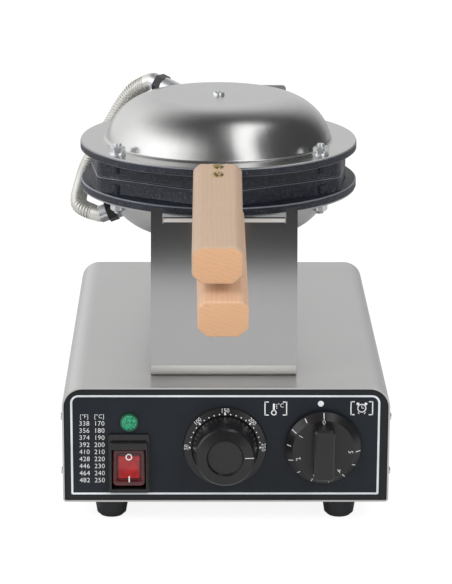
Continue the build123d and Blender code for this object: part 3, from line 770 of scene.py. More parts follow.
def lathe(profile: list[tuple[float | Outline, float]], segments: int = 64) -> bmesh.types.BMesh:
    """A closed body about Z.

    Args:
        profile: steps of (radius, height), where the radius may be an outline: a reach by angle.
        segments: steps round the circle.

    Returns:
        The body as a bmesh; a radius of 0 closes it at the axis.
    """
    made = bmesh.new()
    turns = [2 * pi * k / segments for k in range(segments)]
    rings = []
    for radius, height in profile:
        reaches = [radius(turn) if callable(radius) else radius for turn in turns]
        ring = zip(reaches, turns)
        rings.append([made.verts.new((r * cos(turn), r * sin(turn), height)) for r, turn in ring])
    bridge(made, rings)
    return made


def circle(
    radius: float, steps: int, start: float = 0.0, end: float = 2 * pi, middle: Flat = (0.0, 0.0)
) -> list[Flat]:
    """Points round a circle, or along an arc with both its ends.

    Args:
        radius: its radius.
        steps: steps along it.
        start: the angle that it starts at.
        end: the angle that it ends at.
        middle: its centre.

    Returns:
        The points.
    """
    whole = abs(end - start - 2 * pi) < 1e-9
    turns = [start + (end - start) * k / steps for k in range(steps if whole else steps + 1)]
    return [(middle[0] + radius * cos(turn), middle[1] + radius * sin(turn)) for turn in turns]


def rounded_box(
    x0: float, x1: float, z0: float, z1: float, top: float, bottom: float
) -> list[Flat]:
    """The outline of a box with its own radius at the top and at the bottom corners.

    Args:
        x0: the left side.
        x1: the right side.
        z0: the bottom.
        z1: the top.
        top: the radius of the upper corners.
        bottom: the radius of the lower corners.

    Returns:
        Its points.
    """
    points = circle(top, 8, 0, pi / 2, (x1 - top, z1 - top))
    points += circle(top, 8, pi / 2, pi, (x0 + top, z1 - top))
    points += circle(bottom, 4, pi, 1.5 * pi, (x0 + bottom, z0 + bottom))
    points += circle(bottom, 4, 1.5 * pi, 2 * pi, (x1 - bottom, z0 + bottom))
    return points


def slab(loops: list[list[Flat]], thickness: float) -> bpy.types.Mesh:
    """A flat plate about z = 0 from an outline; further loops inside it are holes.

    Args:
        loops: the outline and the holes.
        thickness: how thick the plate is.

    Returns:
        Its mesh.
    """
    data = bpy.data.curves.new("outline", "CURVE")
    data.dimensions = "2D"
    data.fill_mode = "BOTH"
    data.extrude = thickness / 2
    for loop in loops:
        spline = data.splines.new("POLY")
        spline.points.add(len(loop) - 1)
        for held, (u, v) in zip(spline.points, loop):
            held.co = (u, v, 0.0, 1.0)
        spline.use_cyclic_u = True
    return baked(new_object("outline", data))


def carry(mesh: bpy.types.Mesh, matrix: Matrix) -> bpy.types.Mesh:
    """Applies a place to a mesh.

    Args:
        mesh: the mesh, changed in place.
        matrix: the place.

    Returns:
        The same mesh.
    """
    mesh.transform(matrix)
    mesh.update()
    return mesh


def onto_plate(mesh: bpy.types.Mesh, plate: Plate) -> None:
    """Puts a mesh drawn about Z from the parting plane on a plate, mirrored on the lower one.

    Args:
        mesh: the mesh, changed in place.
        plate: the plate.
    """
    mirror = Matrix.Scale(plate.value, 4, (0, 0, 1))
    mesh.transform(Matrix.Translation((AXIS_X, PLATE_Y, AXIS_Z)) @ mirror)
    if plate is Plate.LOWER:
        mesh.flip_normals()


# From a drawing in X and Y to one that faces the user, and to one in Y and Z
FACING_USER = Euler((pi / 2, 0, 0)).to_matrix().to_4x4()
SIDEWAYS = Matrix(((0, 0, 1), (1, 0, 0), (0, 1, 0))).to_4x4()


@dataclass(frozen=True)
class Tree:
    """A Geometry Nodes tree with named inputs, run once on a mesh or a curve."""

    name: str
    inputs: Sockets
    build: Build

    def run(self, data: bpy.types.ID, **values: object) -> bpy.types.Mesh:
        """Runs the tree.

        Args:
            data: the mesh or curve that it starts from.
            **values: the tree's inputs, with underscores for spaces.

        Returns:
            The plain mesh that comes out, with its material.
        """
        shape = ("Geometry", "NodeSocketGeometry")
        inputs = (shape, *self.inputs)
        group = node_group(self.name, "GeometryNodeTree", inputs, (shape,), self.build)
        start = new_object("start", data)
        modifier = start.modifiers.new("tree", "NODES")
        modifier.node_group = group
        names = {s.name: s.identifier for s in group.interface.items_tree if s.in_out == "INPUT"}
        for name, value in values.items():
            modifier[names[name.replace("_", " ")]] = value
        start.update_tag()
        return baked(start)


def number_inputs(*names: str) -> Sockets:
    """Inputs of a tree that are numbers, and its Material."""
    return (*((name, "NodeSocketFloat") for name in names), ("Material", "NodeSocketMaterial"))


def _build_scatter(w: Wiring, start: Node, end: Node) -> None:
    """Stands a stock piece on every point, along the point's facing attribute.

    Args:
        w: wiring of the group.
        start: the group's input node.
        end: its output node.
    """
    facing = w.add("GeometryNodeInputNamedAttribute", {"Name": "facing"}, data_type="FLOAT_VECTOR")
    turn = w.add("GeometryNodeInputNamedAttribute", {"Name": "turn"}, data_type="FLOAT")
    lean = w.add("FunctionNodeAlignRotationToVector", {"Vector": facing.outputs[0]}, axis="Z")
    axis_turn = {"Axis": (0.0, 0.0, 1.0), "Angle": turn.outputs[0]}
    spin = w.add("FunctionNodeAxisAngleToRotation", axis_turn)
    both = w.add("FunctionNodeRotateRotation", rotation_space="LOCAL")
    w.feed(both.inputs[0], lean.outputs[0])
    w.feed(both.inputs[1], spin.outputs[0])
    stock = w.add("GeometryNodeObjectInfo", {"Object": start.outputs["Stock"]}).outputs["Geometry"]
    inputs = {"Points": start.outputs["Geometry"], "Instance": stock, "Rotation": both.outputs[0]}
    w.end_geometry(start, end, w.add("GeometryNodeInstanceOnPoints", inputs).outputs[0])


SCATTER = Tree("stand_on_points", (("Stock", "NodeSocketObject"), *number_inputs()), _build_scatter)


@dataclass(frozen=True)
class Spot:
    """A place for one repeated piece: where, which way it faces, and its turn."""

    at: Vector
    way: Vector
    turn: float = 0.0


def scatter(stock: bpy.types.Mesh, spots: list[Spot], finish: Finish) -> bpy.types.Mesh:
    """One mesh with a stock piece on every spot.

    Args:
        stock: the piece, drawn about Z on the origin.
        spots: where the copies stand.
        finish: their finish.

    Returns:
        The copies as one plain mesh.
    """
    holder = new_object("stock", stock)
    points = bpy.data.meshes.new("points")
    points.from_pydata([s.at for s in spots], [], [])
    facing = points.attributes.new("facing", "FLOAT_VECTOR", "POINT")
    facing.data.foreach_set("vector", [c for s in spots for c in s.way.normalized()])
    turn = points.attributes.new("turn", "FLOAT", "POINT")
    turn.data.foreach_set("value", [s.turn for s in spots])
    mesh = SCATTER.run(points, Stock=holder, Material=finish.material())
    bpy.data.objects.remove(holder)
    return smooth(mesh)


# Screws and nuts


@dataclass(frozen=True)
class CrossScrew:
    """A pan head with a cross recess; it sits on z = 0.

    The recess's half width and reach are shares of the radius. The rim's height and the recess's
    depth are shares of the height. The dome's two powers shape its outline.
    """

    radius: float
    height: float
    arm: float = 0.17
    reach: float = 0.62
    rim: float = 0.25
    depth: float = 0.6
    dome: Flat = (3.2, 0.6)
    segments: int = 48
    rings: int = 14

    def top(self, x: float, y: float, share: float) -> float:
        """The head's height at a place and its share of the radius: a dome with a pressed cross.

        Args:
            x: the place across.
            y: the place lengthways.
            share: how far out it is, 1 at the rim.

        Returns:
            The height.
        """
        arm, reach = self.radius * self.arm, self.radius * self.reach
        near, far = sorted((abs(x), abs(y)))
        dome = (1 - share ** self.dome[0]) ** self.dome[1]
        height = self.height * (dome * (1 - self.rim) + self.rim)
        in_arm = max(0.0, min(1.0, (arm - near) / (arm * 0.5)))
        in_reach = max(0.0, min(1.0, (reach - far) / arm))
        return height - in_arm * in_reach * self.height * self.depth

    def stock(self) -> bpy.types.Mesh:
        """Makes the head.

        Returns:
            Its mesh about Z, standing on z = 0.
        """
        made = bmesh.new()
        rows = []
        for share in (ring / self.rings for ring in range(self.rings + 1)):
            places = circle(self.radius * share, self.segments)
            rows.append([made.verts.new((x, y, self.top(x, y, share))) for x, y in places])
        foot = [made.verts.new((x, y, 0)) for x, y in circle(self.radius, self.segments)]
        bridge(made, [*rows, foot])
        made.faces.new(foot[::-1])
        return from_bmesh(made, 40)


@dataclass(frozen=True)
class FlangeNut:
    """A hexagon nut with a serrated flange under it, and the end of its stud."""

    flats: float = 10 * MM
    flange: float = 6.3 * MM
    height: float = 6.0 * MM
    stud: float = 3.0 * MM
    stud_end: float = 8.2 * MM
    thread: float = 0.5 * MM
    thread_depth: float = 0.22 * MM

    def stock(self) -> bpy.types.Mesh:
        """Makes the nut and its stud's end.

        Returns:
            Its mesh about Z, standing on z = 0.
        """
        corner = self.flats / sqrt(3)
        profile = [
            (0.0, 0.0),
            (self.flange, 0.0),
            (self.flange, 0.5 * MM),
            (self.flange * 0.93, 1.1 * MM),
            (hexagon(self.flats, corner), 1.7 * MM),
            (hexagon(self.flats, corner), self.height - 1.0 * MM),
            (hexagon(self.flats, self.flats * 0.545), self.height - 0.45 * MM),
            (self.flats * 0.47, self.height),
            (self.stud + 0.55 * MM, self.height),
            (self.stud + 0.05 * MM, self.height - 0.5 * MM),
        ]
        height = self.height - 0.4 * MM
        while height < self.stud_end - self.thread:
            profile.append((self.stud, height))
            profile.append((self.stud - self.thread_depth, height + self.thread / 2))
            height += self.thread
        profile += [(self.stud - 0.5 * MM, self.stud_end), (0.0, self.stud_end)]
        return from_bmesh(lathe(profile, 72), 28)


@dataclass
class Fasteners:
    """Every screw and nut in sight, on the places that the CAD gives them."""

    stud_circle: float = 95.3 * MM
    stud_angles: tuple[float, ...] = (-128.0, -52.0, 52.0, 128.0)

    crown_screw: CrossScrew = CrossScrew(4.6 * MM, 2.8 * MM)
    strip_screw: CrossScrew = CrossScrew(3.5 * MM, 2.2 * MM)
    strip_reach: float = 100.4 * MM
    strip_sides: Flat = (-5.2, 5.2)
    crown_turn: float = 0.5
    strip_turn: float = 0.3
    nut_turn: float = 1.7

    def add(
        self, plate: Plate, piece: str, node: str, stock: bpy.types.Mesh, spots: list[Spot]
    ) -> None:
        """Stands one kind of fastener on a plate, for the CAD node that holds the same ones.

        Args:
            plate: the plate.
            piece: the new piece's name, after the plate's word.
            node: the CAD node's name, after the plate's word.
            stock: the fastener, drawn about Z.
            spots: where the copies stand.
        """
        name, stands_for = f"{plate.word}_{piece}", f"{plate.word}_{node}"
        mesh = scatter(stock, spots, ZINC)
        add_piece(name, mesh, None, plate.body, [stands_for])

    def build(self) -> None:
        """Makes the nuts of both plates and the cross-head screws of domes and tongues."""
        for plate in Plate:
            up = Vector((0, 0, plate.value))
            level = AXIS_Z + plate.value * (FLANGE_TOP + DOME_SHEET)
            spots = []
            for angle in self.stud_angles:
                x = AXIS_X + self.stud_circle * sin(radians(angle))
                y = PLATE_Y - self.stud_circle * cos(radians(angle))
                spots.append(Spot(Vector((x, y, level)), up, radians(angle * self.nut_turn)))
            self.add(plate, "nuts", "flange_nuts", FlangeNut().stock(), spots)
            crown = Vector((AXIS_X, PLATE_Y, AXIS_Z + plate.value * (FLANGE_TOP + DOME_HEIGHT)))
            spots = [Spot(crown, up, self.crown_turn)]
            self.add(plate, "crown_screw", "dome_screw", self.crown_screw.stock(), spots)
            spots = []
            for x in self.strip_sides:
                at = Vector((AXIS_X + x * MM, PLATE_Y - self.strip_reach, level))
                spots.append(Spot(at, up, self.strip_turn + x))
            self.add(plate, "strip_screws", "tongue_screws", self.strip_screw.stock(), spots)


# The hose


def _build_ribs(w: Wiring, start: Node, end: Node) -> None:
    """A tube along a curve whose radius rises and falls with each rib, plain near its ends.

    Args:
        w: wiring of the group.
        start: the group's input node.
        end: its output node.
    """
    steps_per_rib, ring_steps = 10.0, 24
    trough, crest = -0.75, 0.45
    ribs, root = start.outputs["Ribs"], start.outputs["Root"]
    line = w.add("GeometryNodeResampleCurve", {"Curve": start.outputs["Geometry"]})
    w.feed(line.inputs["Count"], w.math("ADD", w.product(ribs, steps_per_rib), 1.0))
    share = w.add("GeometryNodeSplineParameter").outputs["Factor"]
    wave = w.math("COSINE", w.product(share, ribs, 2 * pi))
    lifted = w.spread(wave, trough, crest, 1.0, 0.0)
    reach = w.math("SUBTRACT", start.outputs["Crest"], root)
    ribbed = w.math("ADD", root, w.product(lifted, reach))
    from_end = w.math("MINIMUM", share, w.rest(share))
    free = w.math("GREATER_THAN", from_end, start.outputs["Plain Share"])
    held = w.product(w.rest(free), start.outputs["Held Radius"])
    radius = w.math("ADD", w.product(ribbed, free), held)
    inputs = {"Curve": line.outputs[0], "Radius": radius}
    sized = w.add("GeometryNodeSetCurveRadius", inputs).outputs[0]
    inputs = {"Resolution": ring_steps, "Radius": 1.0}
    ring = w.add("GeometryNodeCurvePrimitiveCircle", inputs).outputs[0]
    inputs = {"Curve": sized, "Profile Curve": ring, "Scale": radius, "Fill Caps": True}
    w.end_geometry(start, end, w.add("GeometryNodeCurveToMesh", inputs).outputs[0])


RIBS = Tree(
    "ribbed_tube", number_inputs("Ribs", "Crest", "Root", "Plain Share", "Held Radius"), _build_ribs
)


@dataclass
class Hose:
    """The ribbed steel hose that carries the upper plate's wires round the hinge."""

    diameter: float = 12.8 * MM
    groove: float = 0.75 * MM
    ribs: int = 80
    plain_share: float = 0.065
    held_radius: float = 6.1 * MM
    lower_end: Point = (-77.0, 2.0, -37.6)
    upper_end: Point = (-36.0, 61.4, 42.3)
    lower_way: Point = (-0.93, 0.0, -0.36)
    upper_way: Point = (-0.72, 0.58, 0.25)
    lower_reaches: tuple[float, ...] = (10.0, 12.5, 15.0)
    upper_reaches: tuple[float, ...] = (21.5, 18.5, 15.5)
    bends: tuple[Point, ...] = (
        (-112.2, 144.2, 99.8),
        (-113.4, 155.2, 104.4),
        (-111.7, 169.2, 110.2),
        (-109.7, 181.2, 116.6),
        (-106.6, 187.7, 124.3),
        (-104.0, 191.2, 128.1),
        (-98.0, 202.2, 137.0),
        (-91.7, 211.2, 146.9),
        (-86.7, 215.2, 155.3),
        (-81.6, 216.7, 164.3),
        (-76.3, 217.2, 171.6),
        (-71.3, 216.7, 177.8),
    )

    def end_points(self, seat: Point, way: Point, reaches: Iterable[float]) -> list[Vector]:
        """Points straight out of a fitting, at distances from its seat."""
        start = Vector((AXIS_X, PLATE_Y, AXIS_Z)) + Vector(seat) * MM
        return [start + Vector(way).normalized() * reach * MM for reach in reaches]

    def route(self) -> bpy.types.Curve:
        """Draws the hose's line through the part's own route points.

        Returns:
            The line, as a smooth spline.
        """
        points = self.end_points(self.lower_end, self.lower_way, self.lower_reaches)
        corner = Vector((0, BASE_FRONT, BASE_TOP))
        points += [corner + Vector(p) * MM for p in self.bends]
        points += self.end_points(self.upper_end, self.upper_way, self.upper_reaches)
        curve = bpy.data.curves.new("hose_line", "CURVE")
        curve.dimensions = "3D"
        curve.resolution_u = 24
        spline = curve.splines.new("NURBS")
        spline.points.add(len(points) - 1)
        for held, point in zip(spline.points, points):
            held.co = (*point, 1.0)
        spline.order_u = 3
        spline.use_endpoint_u = True
        return curve

    def build(self) -> None:
        plain = baked(new_object("hose_line", self.route()))
        crest = self.diameter / 2
        mesh = RIBS.run(
            self.route(),
            Ribs=float(self.ribs),
            Crest=crest,
            Root=crest - self.groove,
            Plain_Share=self.plain_share,
            Held_Radius=self.held_radius,
            Material=HOSE_STEEL.material(),
        )
        slot, node = "stainless_steel", "flexible_hose"
        hose = add_piece("ribbed_hose", smooth(mesh, 60), None, None, [node])
        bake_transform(hose)


# Cooking plates


def _build_cells(w: Wiring, start: Node, end: Node) -> None:
    """Presses round cups into a flat disc, centred on a triangular grid.

    Args:
        w: wiring of the group.
        start: the group's input node.
        end: its output node.
    """
    steps, kept_reach = 6, 2.8
    wall_power, floor_power = 2.6, 0.72
    pitch = start.outputs["Pitch"]
    size, count = float(steps), steps + 1
    inputs = {"Size X": size, "Size Y": size, "Vertices X": count, "Vertices Y": count}
    grid = w.add("GeometryNodeMeshGrid", inputs)
    at = w.add("ShaderNodeSeparateXYZ", {0: w.add("GeometryNodeInputPosition").outputs[0]})
    x = w.product(w.math("ADD", at.outputs[0], w.product(at.outputs[1], 0.5)), pitch)
    y = w.product(at.outputs[1], sqrt(3) / 2, pitch)
    sheared = w.add("GeometryNodeSetPosition", {"Geometry": grid.outputs[0]})
    w.feed(sheared.inputs["Position"], w.combined({0: x, 1: y, 2: 0.0}))
    reach = w.length(w.add("GeometryNodeInputPosition").outputs[0])
    outside = w.math("GREATER_THAN", reach, w.product(pitch, kept_reach))
    inputs = {"Geometry": sheared.outputs[0], "Selection": outside}
    kept = w.add("GeometryNodeDeleteGeometry", inputs).outputs[0]
    centres = w.add("GeometryNodeMeshToPoints", {"Mesh": kept}).outputs[0]
    near = w.add("GeometryNodeProximity", {"Geometry": centres}, target_element="POINTS")
    share = w.math("DIVIDE", near.outputs["Distance"], start.outputs["Radius"])
    inside = w.math("MAXIMUM", w.rest(w.math("POWER", share, wall_power)), 0.0)
    depth = w.product(w.math("POWER", inside, floor_power), start.outputs["Depth"])
    reach = w.length(w.add("GeometryNodeInputPosition").outputs[0])
    within = w.math("LESS_THAN", reach, start.outputs["Edge"])
    shape = start.outputs["Geometry"]
    inputs = {"Geometry": shape, "Selection": within, "Offset": w.combined({2: depth})}
    w.end_geometry(start, end, w.add("GeometryNodeSetPosition", inputs).outputs[0])


CELLS = Tree("pressed_cells", number_inputs("Pitch", "Radius", "Depth", "Edge"), _build_cells)


@dataclass
class EggPan:
    """A cast pan with round cups on a triangular grid, cooking side down from z = web."""

    radius: float = 88.0 * MM
    web: float = 2.8 * MM
    back: float = 16.5 * MM
    pitch: float = 27.5 * MM
    cup_radius: float = 12.2 * MM
    cup_depth: float = 9.8 * MM
    chamfer: float = 0.3 * MM
    margin: float = 0.5 * MM
    segments: int = 360
    rings: int = 86

    def blank(self) -> bpy.types.Mesh:
        """Makes the disc before the cups are pressed into its face.

        Returns:
            Its mesh, closed, about Z.
        """
        face = [(self.radius * ring / self.rings, self.web) for ring in range(1, self.rings)]
        face += [(self.radius - self.chamfer, self.web), (self.radius, self.web + self.chamfer)]
        rim = (self.radius, self.back)
        return from_bmesh(lathe([(0.0, self.web), *face, rim, (0.0, self.back)], self.segments))

    def build(self) -> None:
        """Makes both pans."""
        for plate in Plate:
            mesh = CELLS.run(
                self.blank(),
                Pitch=self.pitch,
                Radius=self.cup_radius,
                Depth=self.cup_depth,
                Edge=self.radius - self.margin,
                Material=PAN_IRON.material(),
            )
            onto_plate(mesh, plate)
            name, node = plate.word + "_cell_pan", plate.word + "_egg_pan"
            add_piece(name, smooth(mesh, 50), None, plate.body, [node])


@dataclass
class CastRing:
    """The cast ring round a pan.

    Two flat facets meet in a ridge at the front, over a round flange. Drawn about Z, it stands on
    the parting plane and is turned over for the lower plate.
    """

    facet: float = 91.3 * MM
    facet_way: float = radians(30)
    side: float = 96.7 * MM
    side_way: float = radians(82.45)
    corner: float = 103.6 * MM
    drum: float = 97.0 * MM
    flange: float = 105.2 * MM
    flange_under: float = 11.5 * MM
    lip: float = 85.5 * MM
    pan: float = 88.02 * MM
    web: float = 2.8 * MM
    gap: float = 0.3 * MM
    edge: float = 0.5 * MM
    boss: float = 4.6 * MM
    boss_circle: float = 95.6 * MM
    boss_foot: float = 4.5 * MM
    hinge_reach: float = 116.0 * MM
    lug_radius: float = 9.0 * MM
    lug_start: float = 89.5 * MM
    lug_low: float = 0.6 * MM
    upper_lugs: Flat = (21.2 * MM, 31.0 * MM)
    lower_lugs: Flat = (31.6 * MM, 40.0 * MM)
    upper_bore: float = 4.05 * MM
    lower_bore: float = 4.02 * MM

    def wall(self, grow: float) -> Outline:
        """The drum's outline, moved out by a distance.

        Args:
            grow: the distance.

        Returns:
            The outline, which stays within the flange.
        """

        def reach(angle: float) -> float:
            """Gives the outline at one angle.

            Args:
                angle: from +X, in radians.

            Returns:
                How far the outline reaches.
            """
            away = abs((angle + 1.5 * pi) % (2 * pi) - pi)
            if away >= self.side_way:
                return self.drum + grow
            facet = self.facet / cos(away - self.facet_way)
            side = self.side / cos(away - self.side_way)
            return min(min(facet, side, self.corner) + grow, self.flange - 1.1 * MM)

        return reach

    def drum_and_flange(self) -> bmesh.types.BMesh:
        """Turns the ring itself, with its parting face at the gap.

        Returns:
            The ring about Z.
        """
        under, top, edge = self.flange_under, FLANGE_TOP, self.edge
        profile = [
            (self.lip, self.gap),
            (self.wall(-edge), self.gap),
            (self.wall(0.0), self.gap + edge),
            (self.wall(0.0), under - 1.2 * MM),
            (self.wall(0.4 * MM), under - 0.4 * MM),
            (self.wall(1.2 * MM), under),
            (self.flange - 1.0 * MM, under),
            (self.flange, under + 0.8 * MM),
            (self.flange, top - 0.6 * MM),
            (self.flange - 0.6 * MM, top),
            (self.pan, top),
            (self.pan, self.web),
            (self.lip, self.web),
            (self.lip, self.gap),
        ]
        return lathe(profile, 360)

    def worn(self, face: bpy.types.MeshPolygon) -> bool:
        """Whether a face is one of the ring's narrow edges, which get a painted highlight.

        Args:
            face: a face of the ring, drawn about Z.

        Returns:
            True for the edges at the parting face and the flange.
        """
        leaning = 0.35 < abs(face.normal.z) < 0.93
        height = face.center.z
        at_parting = height < self.gap + self.edge
        at_flange = face.center.xy.length > self.flange - 0.8 * MM
        return leaning and (at_parting or at_flange)

    def lug(self, inner: float, outer: float, bore: float, side: int) -> bpy.types.Mesh:
        """A hinge lug: an arm with a round end and a bore, drawn in Y and Z and made thick in X.

        Args:
            inner: its near side's distance from the middle.
            outer: its far side's distance.
            bore: the bore's radius.
            side: 1 for the right lug and -1 for the left.

        Returns:
            Its mesh.
        """
        near = self.hinge_reach - sqrt(self.lug_radius**2 - self.lug_low**2)
        start = pi + self.lug_low / self.lug_radius
        end = circle(self.lug_radius, 28, start, 2.5 * pi, (self.hinge_reach, 0.0))
        arm = [(self.lug_start, self.lug_radius), (self.lug_start, self.lug_low)]
        arm.append((near, self.lug_low))
        mesh = slab([arm + end, circle(bore, 24, middle=(self.hinge_reach, 0.0))], outer - inner)
        return carry(mesh, Matrix.Translation((side * (inner + outer) / 2, 0, 0)) @ SIDEWAYS)

    def stud_boss(self, angle: float) -> bpy.types.Mesh:
        """The round boss under one flange nut.

        Args:
            angle: its place round the ring, in degrees.

        Returns:
            Its mesh.
        """
        top = FLANGE_TOP - MM
        outline = [(0.0, self.boss_foot), (self.boss, self.boss_foot), (self.boss, top), (0.0, top)]
        at = (self.boss_circle * sin(radians(angle)), -self.boss_circle * cos(radians(angle)), 0)
        return carry(to_mesh(lathe(outline, 32)), Matrix.Translation(at))

    def ring(self, plate: Plate, lugs: Flat, bore: float) -> None:
        """Makes one ring.

        Args:
            plate: the plate that it belongs to.
            lugs: the inner and outer distance of the hinge lugs from the middle.
            bore: the radius of their bores.
        """
        made = self.drum_and_flange()
        for angle in Fasteners.stud_angles:
            made.from_mesh(self.stud_boss(angle))
        for hand in (-1, 1):
            made.from_mesh(self.lug(*lugs, bore, hand))
        mesh = from_bmesh(made, 30)
        # The narrow edges take the lighter iron, a painted highlight.
        dress(mesh, IRON, IRON_EDGE_HIGHLIGHT)
        for face in mesh.polygons:
            face.material_index = int(self.worn(face))
        onto_plate(mesh, plate)
        name, node = plate.word + "_cast_ring", plate.body + "_ring"
        add_piece(name, mesh, None, plate.body, [node])

    def build(self) -> None:
        """Makes both rings, whose hinge lugs stand side by side."""
        self.ring(Plate.UPPER, self.upper_lugs, self.upper_bore)
        self.ring(Plate.LOWER, self.lower_lugs, self.lower_bore)


# Handles


@dataclass
class Handle:
    """A wooden bar of eight-sided section with softened edges, on one plate's tongue."""

    plate: Plate
    root_height: float
    droop: float
    shift: float
    swing: float
    top_colour: Colour
    roughness: float = 0.42
    length: float = 132.4 * MM
    width: float = 35.0 * MM
    thickness: float = 28.6 * MM
    corner: float = 4.8 * MM
    low_corner: float = 6.6 * MM
    softness: float = 1.7 * MM
    end_block: float = 6 * MM
    root_depth: float = 19.6 * MM
    screw: CrossScrew = CrossScrew(4.2 * MM, 1.3 * MM)
    screw_steps: tuple[float, ...] = (6.0, 19.0)
    end_colour: Colour = (0.73, 0.425, 0.235)
    end_roughness: float = 0.48
    end_band: Colour = (0.60, 0.32, 0.17)
    end_bands: float = 0.35
    end_turn: float = 1.25
    screw_turn: float = 0.4

    def place(self) -> Matrix:
        """Works out the bar's own frame.

        Returns:
            The frame: X across, Y up out of its top face, Z towards the user.
        """
        droop = radians(self.droop)
        swing = radians(self.swing)
        across = Vector((cos(swing), sin(swing), 0))
        along = Vector((sin(swing) * cos(droop), -cos(swing) * cos(droop), -sin(droop)))
        turned = Matrix((across, along.cross(across), along)).transposed().to_4x4()
        root = (AXIS_X + self.shift, BASE_FRONT + self.root_depth, AXIS_Z + self.root_height)
        return Matrix.Translation(root) @ turned

    def bar(self) -> bpy.types.Mesh:
        """Makes the bar, its edges rounded by a bevel.

        Returns:
            Its mesh about its own Z.
        """
        w, t, c, low = self.width / 2, self.thickness / 2, self.corner, self.low_corner
        section = [(-w, -t + low), (-w + low, -t), (w - low, -t), (w, -t + low)]
        section += [(w, t - c), (w - c, t), (-w + c, t), (-w, t - c)]
        made = bmesh.new()
        steps = (0.0, self.end_block, self.length - self.end_block, self.length)
        rows = [[made.verts.new((x, y, z)) for x, y in section] for z in steps]
        bridge(made, rows)
        made.faces.new(rows[0][::-1])
        made.faces.new(rows[-1])
        holder = new_object("bar", from_bmesh(made))
        bevel = holder.modifiers.new("soft", "BEVEL")
        bevel.width = self.softness
        bevel.segments = 5
        bevel.limit_method = "ANGLE"
        bevel.angle_limit = radians(30)
        return smooth(baked(holder), 50)

    def build(self) -> None:
        """Makes the bar and its two cross-head screws."""
        place = self.place()
        plate, droop = self.plate, radians(self.droop)
        name, node = plate.word + "_grip", plate.word + "_handle"
        side = Timber(name + "_beech", self.top_colour, self.roughness, droop=droop)
        end = Timber(
            name + "_end_grain",
            self.end_colour,
            self.end_roughness,
            band=self.end_band,
            bands=self.end_bands,
            droop=droop,
            turn=self.end_turn,
        )
        mesh = self.bar()
        dress(mesh, side, end)
        for face in mesh.polygons:
            face.material_index = int(abs(face.normal.z) > 0.9)
        add_piece(name, carry(mesh, place), None, plate.body, [node])
        top = plate.value * self.thickness / 2
        out = (place.to_3x3() @ Vector((0, plate.value, 0))).normalized()
        spots = []
        for z in self.screw_steps:
            spots.append(Spot(place @ Vector((0, top, z * MM)), out, self.screw_turn + z))
        mesh = scatter(self.screw.stock(), spots, BRASS)
        name, node = name + "_brass_screws", node + "_screws"
        add_piece(name, mesh, None, plate.body, [node])


HANDLES = (
    Handle(
        Plate.UPPER,
        root_height=11.3 * MM,
        droop=12.2,
        shift=-1.6 * MM,
        swing=-0.4,
        top_colour=(0.55, 0.40, 0.29),
    ),
    Handle(
        Plate.LOWER,
        root_height=-19.5 * MM,
        droop=15.6,
        shift=0.0,
        swing=0.65,
        top_colour=(0.72, 0.45, 0.29),
    ),
)


# Printed marks


@dataclass
class Print:
    """Flat marks on a face that looks towards the user, drawn in X and Z about a centre."""

    name: str
    face_y: float
    finish: Finish
    centre: Flat = (0.0, 0.0)
    thickness: float = 0.06 * MM
    relief: Callable[[float], float] | None = None

    def __post_init__(self) -> None:
        """Starts with no marks."""
        self.parts: list[bpy.types.Mesh] = []

    def _keep(self, mesh: bpy.types.Mesh, x: float, z: float, turn: float) -> None:
        """Keeps a mark's mesh at a place on the face."""
        mesh.transform(Matrix.Translation((x, z, 0)) @ Matrix.Rotation(-turn, 4, "Z"))
        self.parts.append(mesh)

    def text(
        self, words: str, x: float, z: float, size: float, turn: float = 0.0, wide: float = 1.0
    ) -> None:
        """Plain digits or signs, centred on a place.

        Args:
            words: the signs.
            x: the place across.
            z: the place upwards.
            size: the type's size.
            turn: clockwise, in radians.
            wide: the spacing of the signs.
        """
        data = bpy.data.curves.new("digits", "FONT")
        data.body = words
        data.size = size
        data.align_x = "CENTER"
        data.align_y = "CENTER"
        data.resolution_u = 3
        data.offset = -size * 0.008
        data.space_character = wide
        data.extrude = self.thickness / 2
        self._keep(baked(new_object("digits", data)), x, z, turn)

    def shape(
        self, loops: list[list[Flat]], x: float = 0.0, z: float = 0.0, turn: float = 0.0
    ) -> None:
        """A filled outline; further loops inside it are holes."""
        self._keep(slab(loops, self.thickness), x, z, turn)

    def bar(self, x: float, z: float, width: float, height: float, turn: float = 0.0) -> None:
        """A filled bar, centred on a place."""
        w, h = width / 2, height / 2
        self.shape([[(-w, -h), (w, -h), (w, h), (-w, h)]], x, z, turn)

    def dot(self, x: float, z: float, radius: float) -> None:
        """A round dot."""
        self.shape([circle(radius, 20)], x, z)

    def ring(self, x: float, z: float, radius: float, hole: float, steps: int) -> None:
        """A round ring."""
        self.shape([circle(radius, steps), circle(hole, steps)], x, z)

    def build(self, body: str, slot: str) -> bpy.types.Object:
        """Joins the marks into one piece that rides on a body.

        Args:
            body: the body.
            slot: not used.

        Returns:
            The piece.
        """
        longest = 1.2 * MM
        joined = bmesh.new()
        for mesh in self.parts:
            joined.from_mesh(mesh)
        if self.relief is not None:
            edges = [edge for edge in joined.edges if edge.calc_length() > longest]
            bmesh.ops.subdivide_edges(joined, edges=edges, cuts=2, use_grid_fill=True)
            for vertex in joined.verts:
                vertex.co.z += self.relief(sqrt(vertex.co.x**2 + vertex.co.y**2))
        bmesh.ops.remove_doubles(joined, verts=joined.verts, dist=1e-7)
        place = Matrix.Translation((self.centre[0], self.face_y, self.centre[1])) @ FACING_USER
        return add_piece(self.name, carry(to_mesh(joined), place), self.finish, body)


